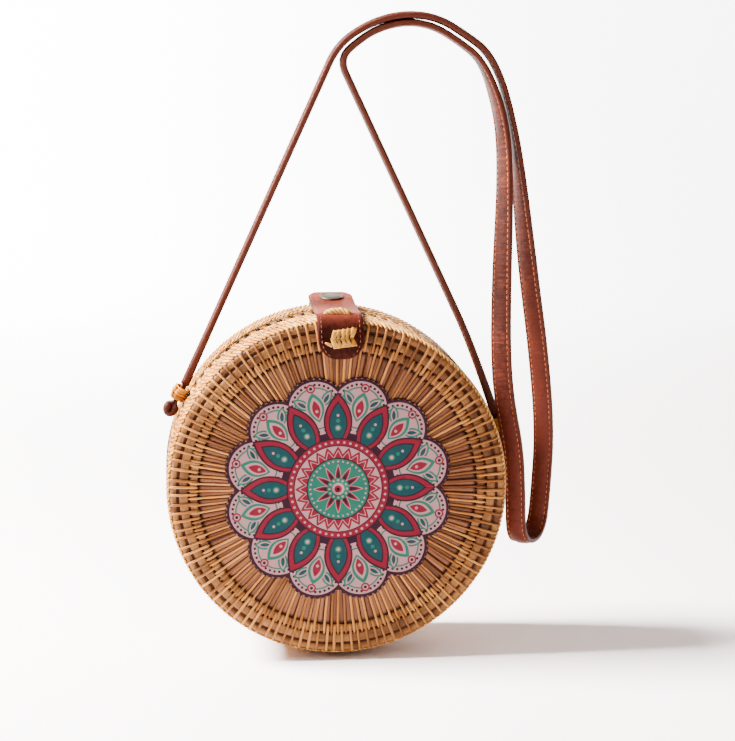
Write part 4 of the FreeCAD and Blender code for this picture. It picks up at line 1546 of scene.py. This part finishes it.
    def build_snap(self, looks: Finishes) -> None:
        """Domed cap with a rolled rim, tipped with the tongue; the socket and the stud keep their solids.

        Args:
            looks: the finishes.
        """
        base = BAG_RADIUS + self.seat + self.tongue_lift + self.flap_thickness
        profile = np.array([(0.0, 1.45), (2.2, 1.42), (4.0, 1.34), (5.2, 1.22), (5.55, 1.12), (5.75, 1.2), (6.1, 1.38),
                            (6.5, 1.36), (6.85, 1.05), (7.0, 0.6), (6.9, 0.15), (6.5, 0.0), (0.0, 0.0)])
        dome = lathe(profile, 48)
        x, y, z = dome.points.T
        dome.points = np.stack([x + self.flap_offset + self.flap_lean * 0.35, y - self.tongue_slope * z + self.snap,
                                z + self.tongue_slope * y + base], axis=-1)
        cap = dome.to_object("snap_dome", looks.metal)
        dressed(cap, "flap", "snap_metal", "snap_cap")
        for node in ("snap_socket", "snap_stud"):
            repaint(node, looks.metal)

    def chevron(self, side: Side, thickness: float) -> Surface:
        """Raffia chevrons: two rows of flat ribbons that slant from the middle line, edge strands and a short tail.

        Args:
            side: the cup that carries them.
            thickness: the leather under them.

        Returns:
            The ribbons.
        """
        count = self.ribbons
        random = np.random.default_rng(5)
        t = np.linspace(0, 1, 6)
        face = side.value * (HALF_DEPTH + self.seat + thickness)
        middle = BAG_RADIUS - self.drop + self.chevron_height
        first = self.flap_offset - 4.3 + np.arange(count)[:, None] * self.ribbon_pitch
        out = np.array([0.0, side.value, 0.0])

        def height(x: Array, rise: Array) -> Array:
            """Z of a place that rises from the middle line, which slopes slightly."""
            return middle + rise + self.chevron_slope * (x - self.flap_offset)

        def placed(x: Array, stand: Array, z: Array) -> Array:
            """Points that stand off the bulged leather."""
            return np.stack([x, face + side.value * (stand + self.bulge(z, side)), z], axis=-1)

        rows = []
        for row in (1, -1):
            x = first + random.normal(0, 0.08, (count, 1)) + self.ribbon_slant * t
            z = height(x, row * (self.ribbon_reach * t - 0.2)) + random.normal(0, 0.1, (count, 1))
            lift = 0.15 + 0.45 * np.sin(np.pi * t) + random.uniform(-0.06, 0.14, (count, 1))
            width = self.ribbon_half_width * np.array([0.85, 0.9, 1.0, 1.1, 1.15, 1.15])
            rows.append(sweep(placed(x, lift, z), np.array([0.2, side.value, 0.0]),
                              width * random.uniform(0.96, 1.04, (count, 1)), 0.36, round_section(8, 0.4),
                              tone=random.uniform(0.2, 1, count), tuck=np.array([0.3, 0, 0, 0, 0, 0.3])))
            # Dark slivers between the ribbons: painted shade in the holes between them.
            s = np.array([0.06, 0.34, 0.76])
            x = first[:-1] + self.ribbon_pitch / 2 + self.ribbon_slant * s + random.normal(0, 0.1, (count - 1, 1))
            z = height(x, row * (self.ribbon_reach * s - 0.2))
            width = 0.56 * np.array([0.25, 1.0, 0.2]) * random.uniform(0.6, 1.2, (count - 1, 1))
            rows.append(sweep(placed(x, 1.14, z), out, width, 0.16, round_section(4), tuck=np.ones(3)))
            x = np.linspace(first[0, 0] - 1.3, first[-1, 0] + 1.3, 6) + self.ribbon_slant
            strand = placed(x, 0.5, height(x, row * (self.ribbon_reach - 0.4)))
            rows.append(sweep(strand[None], out, 0.7, 0.4, round_section(8, 0.6)))
        tail = placed(self.flap_offset - 4.6 - 4.0 * t, 0.3 + 0.4 * np.sin(np.pi * t), middle - 3.8 + 1.7 * t)
        rows.append(sweep(tail[None], out, 1.2 - 0.7 * t, 0.36, round_section(8, 0.6)))
        return Surface.joined(rows)

    def bar(self) -> Surface:
        """Raffia bar at the fold: three thick strands twisted like a rope along an arched line.

        Returns:
            The strands.
        """
        t = np.linspace(-1, 1, 49)
        random = np.random.default_rng(9)
        count = self.bar_strands
        strand = np.arange(count)[:, None] * 2 * np.pi / count
        twist = strand + t * 6.6
        reach = (1.3 + 0.12 * np.sin(t * 6 + strand * 2)) * (1 - 0.5 * t ** 6)
        x = self.flap_offset - 0.7 + self.bar_half_length * t + 0 * strand
        y = self.fold - 4.6 - 0.9 * t * t + reach * np.cos(twist)
        z = self.fold_height - 1.2 - 1.7 * t * t + reach * np.sin(twist)
        up = np.stack([0 * twist, np.cos(twist), np.sin(twist)], axis=-1)
        swell = (1 + 0.12 * np.sin(t * 11 + strand * 3)) * (1 - 0.4 * t ** 8)
        return sweep(np.stack([x, y, z], axis=-1), up, 1.08 * swell, 0.95 * swell, round_section(8),
                     tone=random.uniform(0.3, 1, count), tuck=0.4 * t ** 12)

    def build_raffia(self, looks: Finishes) -> None:
        """Chevrons on the flap and the tab, and the bar at the fold.

        Args:
            looks: the finishes.
        """
        front = self.chevron(Side.FRONT, self.flap_thickness).to_object("flap_raffia", looks.raffia)
        dressed(front, "front_half", "raffia", "flap_chevron")
        rear = self.chevron(Side.REAR, self.tab_thickness).to_object("tab_raffia", looks.raffia)
        dressed(rear, "rear_half", "raffia", "rear_tab_chevron")
        fold = self.bar().to_object("fold_raffia", looks.raffia)
        dressed(fold, "front_half", "raffia", "flap_fold_bar")

    def build(self, looks: Finishes) -> None:
        """Builds the whole closure.

        Args:
            looks: the finishes.
        """
        self.build_flap(looks)
        self.build_tab(looks)
        self.build_snap(looks)
        self.build_raffia(looks)


@dataclass
class BottomHinge:
    """Leather hinge under the basket: one strip with a soft fold on the axis, stitched to both cups."""

    half_width: float = 18.0
    reach: float = 19.8
    thickness: float = 1.6
    inner_radius: float = 100.3
    corner: float = 6.0
    fold_drop: float = 0.9
    fold_half: float = 4.5
    stitch_count: int = 4
    stitch_pitch: float = 6.5
    stitch_place: float = 10.8
    stitch_half: float = 3.0

    def build_leather(self, looks: Finishes) -> None:
        """The strip, curved with the basket: z = -sqrt(R^2 - x^2), bulged at the fold by a bell curve.

        Args:
            looks: the finishes.
        """
        half_run = np.concatenate([np.linspace(0.2, 0.7, 6), [0.85, 0.95, 0.985, 1]])
        y = PARTING + np.concatenate([-half_run[::-1], np.linspace(-0.15, 0.15, 9), half_run]) * self.reach
        run = self.reach - np.abs(y - PARTING)
        short = np.clip(self.corner - run, 0, self.corner)
        width = self.half_width - self.corner + np.sqrt(self.corner ** 2 - short ** 2)
        share = np.array([-1, -0.97, -0.9, -0.7, -0.35, 0, 0.35, 0.7, 0.9, 0.97, 1])
        x = width[:, None] * share
        bulge = self.fold_drop * np.exp(-((y - PARTING) / 1.5) ** 2)[:, None]
        radius = self.inner_radius + self.thickness / 2
        centre = np.stack([x, y[:, None] + 0 * x, -np.sqrt(radius ** 2 - x ** 2) - bulge], axis=-1)
        edge = np.minimum(width[:, None] * (1 - np.abs(share)), run[:, None] + 0 * x)
        normal = unit(np.stack([x, 0 * x, centre[..., 2]], axis=-1))
        half = self.thickness / 2 * (0.6 + 0.4 * eased(edge, 0.0, 0.8))
        leather = slab(centre, normal, half, edge).to_object("hinge_leather", looks.flap)
        axis = in_frame(np.array([0.0, PARTING, -radius]))
        aside = np.array([0.0, self.fold_half * MM, 0.0])
        tuple(axis - aside)
        tuple(axis + aside)
        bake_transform(leather)
        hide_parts("front_hinge_leaf", "rear_hinge_leaf", "hinge_roll")

    def build_stitches(self, looks: Finishes, side: Side, name: str) -> None:
        """A row of arched raffia stitches on one leaf.

        Args:
            looks: the finishes.
            side: the cup that the leaf is sewn to.
            name: the cup's name.
        """
        t = np.linspace(-1, 1, 7)
        x = (np.arange(self.stitch_count)[:, None] - (self.stitch_count - 1) / 2) * self.stitch_pitch + 0.8 * t
        y = PARTING + side.value * self.stitch_place + self.stitch_half * t + 0 * x
        z = -(self.inner_radius + self.thickness) - 0.25 - 0.55 * (1 - t ** 4) + 0 * x
        raffia = sweep(np.stack([x, y, z], axis=-1), np.array([0.0, 0.0, -1.0]), 1.1 * (1 - 0.4 * t ** 4), 0.5,
                       round_section(8), tone=np.array([0.1, 0.8, 0.4, 0.95]), tuck=0.5 * t ** 8)
        piece = raffia.to_object(name + "_hinge_raffia", looks.raffia)
        dressed(piece, name + "_half", "raffia", name + "_hinge_stitches")

    def build(self, looks: Finishes) -> None:
        """Builds the leather and both rows of stitches.

        Args:
            looks: the finishes.
        """
        self.build_leather(looks)
        self.build_stitches(looks, Side.FRONT, "front")
        self.build_stitches(looks, Side.REAR, "rear")


@dataclass
class Lashing:
    """Raffia turns that tie a folded strap end to the wall."""

    flank: Flank
    angle: float
    name: str
    radius: float = 104.35
    lug_y: float = 4.0
    turns: int = 7
    half_out: float = 3.25
    half_deep: float = 5.75
    half_height: float = 3.4
    loop_drop: float = 10.4

    def placed(self, radial: Array, y: Array, along: Array) -> Array:
        """Points from the lashing's own axes.

        Args:
            radial: distance outward from the lashing's middle.
            y: distance along Y.
            along: distance up along the strap.

        Returns:
            The points in the bag's axes.
        """
        angle = math.radians(self.angle)
        radial, y, along = np.broadcast_arrays(radial, y, along)
        reach = self.radius + radial
        x = reach * math.cos(angle) - along * math.sin(angle)
        z = reach * math.sin(angle) + along * math.cos(angle)
        return np.stack([x * self.flank.value, self.lug_y + y, z], axis=-1)

    def build_turns(self, looks: Finishes) -> None:
        """Uneven, lumpy closed turns on a rounded rectangle, with slanted strands across the outside.

        Args:
            looks: the finishes.
        """
        random = np.random.default_rng(31 + self.flank.value)
        spin = circle(28)
        square = squared(np.stack([np.cos(spin), np.sin(spin)]), 0.62)
        level = np.linspace(-self.half_height, self.half_height, self.turns)[:, None]
        tilt = random.uniform(-0.8, 0.8, (self.turns, 1)) * np.sin(spin + random.uniform(0, 6, (self.turns, 1)))
        lump = 1 + 0.06 * np.sin(spin * 3 + random.uniform(0, 6, (self.turns, 1)))
        swell = (1.02 + random.uniform(-0.03, 0.06, (self.turns, 1))) * lump
        y = self.half_deep * square[1] * swell
        paths = self.placed(self.half_out * square[0] * swell, y, level + tilt)
        hub = self.placed(0.0, y * 0.4, level + tilt)
        if self.flank is Flank.LEFT:
            paths, hub = paths[:, ::-1], hub[:, ::-1]
        width = 0.92 * random.uniform(0.75, 1.2, (self.turns, 1)) * lump
        rings = sweep(paths, unit(paths - hub), width, 0.62, round_section(7), closed=True,
                      tone=random.uniform(0, 1, self.turns))
        t = np.linspace(-1, 1, 13)
        sign = np.array([[1.0], [-1.0], [1.0], [-1.0], [0.4]])
        shift = np.array([[-0.8], [0.9], [2.4], [-2.2], [0.2]])
        rise = np.array([[0.35], [0.5], [0.3], [0.3], [0.85]])
        cross = self.placed(3.8 + rise * (1 - t ** 4), 5.3 * t + 0 * sign, 2.9 * sign * t + shift * (1 - t * t))
        over = sweep(cross, self.placed(10.0, 0.0, 0.0) - self.placed(0.0, 0.0, 0.0), 1.1 * (1 - 0.35 * t ** 4), 0.6,
                     round_section(7), tone=np.array([0.9, 0.3, 0.6, 0.75, 0.15]), tuck=0.4 * t ** 8)
        piece = Surface.joined([rings, over]).to_object("raffia_turns_" + self.name, looks.lashing)
        dressed(piece, "rear_half", "raffia", "lashing_" + self.name)

    def build_end(self, looks: Finishes) -> None:
        """Strap end doubled through the lashing, with a teardrop loop below it.

        Args:
            looks: the finishes.
        """
        loop = np.radians(np.linspace(40, 320, 27))
        centre = -self.loop_drop
        down = np.stack([np.full(9, 0.8), np.linspace(6.0, centre + 4.4, 9)], axis=-1)
        ring = np.stack([0.5 + 2.3 * np.sin(loop), centre + 2.9 * np.cos(loop)], axis=-1)
        up = down[::-1] * np.array([-1.0, 1.0])
        path = np.concatenate([down, ring, up])
        points = self.placed(path[:, 0], 0 * path[:, 0], path[:, 1])[None]
        flow = unit(np.gradient(points, axis=1))
        side = np.array([0.0, 1.0, 0.0])
        low = eased(path[:, 1], centre + 4.4, centre + 1.0)
        strip = sweep(points, np.cross(flow, side), 2.6 + 1.4 * low, 0.82 + 1.5 * low, round_section(12, 0.6))
        strip.values["edge"] = np.full(len(strip.points), 0.7)
        piece = strip.to_object("folded_end_" + self.name, looks.strap)
        dressed(piece, "strap", "strap_leather", "strap_end_" + self.name)

    def build(self, looks: Finishes) -> None:
        """Builds the raffia and the strap end.

        Args:
            looks: the finishes.
        """
        self.build_turns(looks)
        self.build_end(looks)


@dataclass
class ShoulderStrap:
    """Long flat strap: up over a bow, down in a loop and back, stitched along both edges."""

    width: float = 12.5
    thickness: float = 4.6
    neck_width: float = 5.0
    neck_thickness: float = 5.2
    taper: float = 44.0
    step: float = 3.0
    stitch_pitch: float = 3.3
    seam_place: float = 0.71
    seam_height: float = 0.6
    # Control points of the route and the strap's turn there, in degrees.
    route: tuple[tuple[float, ...], ...] = (
        (-88.26, 4.0, 55.99, 0.0), (-57.02, 4.0, 124.17, 0.0), (-6.48, 4.0, 234.51, 0.0), (3.6, 4.0, 256.5, 0.0),
        (24.0, 4.0, 269.5, 0.0), (44.0, 4.0, 274.0, 0.0), (63.0, 4.0, 271.5, 0.0), (80.0, 4.0, 261.0, 0.0),
        (92.0, 4.0, 252.0, 0.0), (100.8, 4.0, 235.0, 0.0), (107.0, 4.5, 212.0, 4.0), (110.8, 6.0, 188.0, 20.0),
        (118.0, 9.0, 125.0, 50.0), (126.0, 12.0, 72.0, 60.0), (130.5, 13.0, 24.0, 60.0), (129.0, 13.0, -10.0, 60.0),
        (126.0, 12.0, -42.0, 60.0), (109.5, -12.5, -42.0, 60.0), (108.8, -13.0, -8.0, 60.0),
        (107.1, -14.0, 18.0, 60.0), (101.4, -14.0, 46.0, 60.0), (99.0, -13.5, 74.0, 58.0),
        (99.6, -10.0, 118.0, 50.0), (102.2, -3.0, 170.0, 34.0), (101.6, 0.0, 202.0, 26.0), (97.4, 1.5, 224.0, 19.0),
        (88.5, 3.2, 247.0, 6.0), (75.5, 4.0, 257.4, 0.0), (59.5, 4.0, 267.2, 0.0), (42.5, 4.0, 269.4, 0.0),
        (25.0, 4.0, 264.6, 0.0), (12.5, 4.0, 255.6, 0.0), (6.9, 4.0, 250.0, 0.0), (6.6, 4.0, 242.9, 0.0),
        (9.6, 4.0, 236.47, 0.0), (65.4, 4.0, 117.0, 0.0), (84.1, 4.0, 77.0, 0.0), (98.35, 4.0, 35.39, 0.0))

    def line(self) -> tuple[Array, Array]:
        """Even points along the route's own smooth spline, with the strap's turn at each.

        Returns:
            Points (M, 3) and turns (M,) in radians.
        """
        route = np.array(self.route)
        curve = bpy.data.curves.new("strap_route", "CURVE")
        curve.dimensions = "3D"
        curve.resolution_u = 24
        spline = curve.splines.new("NURBS")
        spline.points.add(len(route) - 1)
        control = np.concatenate([route[:, :3], np.ones((len(route), 1))], axis=1)
        spline.points.foreach_set("co", control.ravel())
        spline.order_u = 3
        spline.use_endpoint_u = True
        holder = bpy.data.objects.new("strap_route", curve)
        mesh = bpy.data.meshes.new_from_object(holder)
        found = np.empty(len(mesh.vertices) * 3)
        mesh.vertices.foreach_get("co", found)
        found = found.reshape(-1, 3)
        bpy.data.objects.remove(holder)
        bpy.data.curves.remove(curve)
        bpy.data.meshes.remove(mesh)
        run = run_along(found)
        at = np.linspace(0, run[-1], int(run[-1] / self.step) + 1)
        points = np.stack([np.interp(at, run, found[:, axis]) for axis in range(3)], axis=-1)
        spans = len(route) - 2
        nearest = np.clip(np.arange(len(route)) - 0.5, 0, spans)
        knots = np.interp(nearest, np.linspace(0, spans, len(found)), run)
        turns = np.interp(at, knots, np.radians(route[:, 3]))
        return points, turns

    def section(self) -> Array:
        """Strap section: domed on both sides, with a pressed seam line beside each edge.

        Returns:
            Points (K, 2) of unit half sizes, anticlockwise.
        """
        across = np.array([1.0, 0.96, 0.86, 0.74, 0.68, 0.6, 0.35, 0.0])
        height = np.array([0.3, 0.62, 0.7, 0.6, 0.6, 0.74, 0.94, 1.0])
        top = np.concatenate([np.stack([across, height], -1), np.stack([-across[-2::-1], height[-2::-1]], -1)])
        return np.concatenate([top, top[::-1] * np.array([1.0, -1.0])])

    def build(self, looks: Finishes) -> None:
        """The strap as one swept piece with its thread.

        Args:
            looks: the finishes.
        """
        points, turns = self.line()
        run = run_along(points)
        flow = unit(np.gradient(points, axis=0))
        across = np.stack([np.sin(turns), -np.cos(turns), np.zeros_like(turns)], axis=-1)
        across = unit(across - flow * np.sum(across * flow, axis=-1, keepdims=True))
        up = np.cross(flow, across)
        grown = eased(np.minimum(run, run[-1] - run), 0.0, self.taper)
        half_width = (self.neck_width + (self.width - self.neck_width) * grown) / 2
        half_height = (self.neck_thickness + (self.thickness - self.neck_thickness) * grown) / 2
        section = self.section()
        strap = sweep(points[None], up[None], half_width[None], half_height[None], section)
        rim = (1 - np.abs(section[:, 0])) * self.width / 2
        strap.values["edge"] = np.tile(rim, len(points))
        # The hanging loop is painted paler: partly patina, partly painted light on the loop, which faces away from the
        # key light.
        loop_wear_and_painted_light = eased(points[:, 0], 96.0, 108.0) * eased(points[:, 2], 170.0, 20.0)
        strap.values["wear"] = np.repeat(loop_wear_and_painted_light, len(section))
        piece = strap.to_object("shoulder_strap", looks.strap)
        seams = []
        keep = (run > self.taper * 0.8) & (run < run[-1] - self.taper * 0.8)
        for sign in (-1, 1):
            for face in (-1, 1):
                line = (points + across * (sign * self.seam_place * half_width)[:, None]
                        + up * (face * self.seam_height * half_height)[:, None])
                seams.append(stitches(line[keep], face * up[keep], self.stitch_pitch, 0.7, 0.26, 0.22))
        thread = Surface.joined(seams).to_object("strap_seam_thread", looks.strap_thread)
        dressed(thread, "strap", "strap_leather")
        dressed(piece, "strap", "strap_leather", "strap_left_run", "strap_hanging_loop", "strap_right_run")
        path = in_frame(points).tolist()
        LOG.info("strap centre line %.1f mm", run[-1])


@dataclass
class Studio:
    """Pale paper floor that turns up behind, soft lights and the camera."""

    picture_width: float = 735.0
    focal_pixels: float = 2158.15
    distance: float = 1300.0
    azimuth: float = -4.272
    elevation: float = 11.933
    yaw: float = 5.203
    pitch: float = -9.163
    floor_level: float = -103.4
    sensor: float = 36.0

    def build_floor(self, looks: Finishes) -> None:
        """Paper sweep: level floor, then an arc up to a wall far behind.

        Args:
            looks: the finishes.
        """
        arc = np.radians(np.linspace(-90, 0, 24))
        bend, back, top, half = 700.0, 1500.0, 3200.0, 3600.0
        y = np.concatenate([[-2600.0, 0.0, 600.0], back + bend * np.cos(arc), [back + bend]])
        z = np.concatenate([np.zeros(3), bend + bend * np.sin(arc), [top]]) + self.floor_level
        x = np.linspace(-half, half, 9)[:, None]
        grid = np.stack(np.broadcast_arrays(x, y, z), axis=-1)
        quads = grid_quads(np.arange(grid.size // 3).reshape(grid.shape[:2]))
        paper = Surface(grid.reshape(-1, 3), quads, np.zeros((len(quads), 4, 2)))
        paper.to_object("studio_floor", looks.floor)

    def build_camera(self) -> None:
        """Camera at the photograph's place and angle."""
        azimuth, elevation = math.radians(self.azimuth), math.radians(self.elevation)
        place = self.distance * np.array([math.sin(azimuth) * math.cos(elevation),
                                          -math.cos(azimuth) * math.cos(elevation), math.sin(elevation)])
        lens = bpy.data.cameras.new("view")
        lens.sensor_fit = "HORIZONTAL"
        lens.sensor_width = self.sensor
        lens.lens = self.sensor * self.focal_pixels / self.picture_width
        lens.clip_end = 50.0
        camera = bpy.data.objects.new("view", lens)
        camera.location = in_frame(place)
        camera.rotation_euler = (math.radians(90 + self.pitch), 0.0, math.radians(-self.yaw))
        bpy.context.scene.collection.objects.link(camera)
        bpy.context.scene.camera = camera

    def lamp(self, name: str, place: Sequence[float], size: float, power: float, colour: Sequence[float]) -> None:
        """Square soft light that points at the middle of the basket.

        Args:
            name: the light's name.
            place: where it stands.
            size: side of the square in metres.
            power: power in watts.
            colour: linear colour.
        """
        light = bpy.data.lights.new(name, "AREA")
        light.size = size
        light.energy = power
        light.color = colour
        lamp = bpy.data.objects.new(name, light)
        at = in_frame(np.array(place))
        aim = in_frame(np.zeros(3)) - at
        lamp.location = at
        yaw = math.atan2(aim[0], -aim[1])
        lamp.rotation_euler = (math.atan2(math.hypot(aim[0], aim[1]), -aim[2]), 0.0, yaw + math.pi)
        bpy.context.scene.collection.objects.link(lamp)

    def build_lights(self) -> None:
        """Strong key from the left, a broad front fill and a weak even surround."""
        self.lamp("key", place=(-1060.0, 100.0, 1000.0), size=0.5, power=320.0, colour=(1.0, 0.97, 0.945))
        self.lamp("fill", place=(-1250.0, -1300.0, 1450.0), size=1.3, power=14.0, colour=(1.0, 0.92, 0.85))
        world = bpy.data.worlds.new("studio")
        world.use_nodes = True
        world.node_tree.nodes["Background"].inputs[0].default_value = (1.0, 0.8, 0.72, 1.0)
        world.node_tree.nodes["Background"].inputs[1].default_value = 0.55
        bpy.context.scene.world = world

    def build(self, looks: Finishes) -> None:
        """Builds floor, camera and lights.

        Args:
            looks: the finishes.
        """
        self.build_floor(looks)
        self.build_camera()
        self.build_lights()


def main() -> None:
    """Builds the bag's pieces in order, then the studio."""
    logging.basicConfig(level=logging.INFO, format="%(message)s")
    looks = Finishes.made()
    ShoulderStrap().build(looks)
    BasketCup(Side.FRONT, "front", depth=HALF_DEPTH + PARTING - PARTING_GAP / 2, wall_rows=7).build(looks)
    BasketCup(Side.REAR, "rear", depth=HALF_DEPTH - PARTING - PARTING_GAP / 2, wall_rows=8).build(looks)
    PrintedPatch().build(looks)
    Closure().build(looks)
    BottomHinge().build(looks)
    Lashing(Flank.LEFT, angle=29.1, name="left").build(looks)
    Lashing(Flank.RIGHT, angle=16.5, name="right").build(looks)
    Studio().build(looks)


if __name__ == "__main__":
    main()
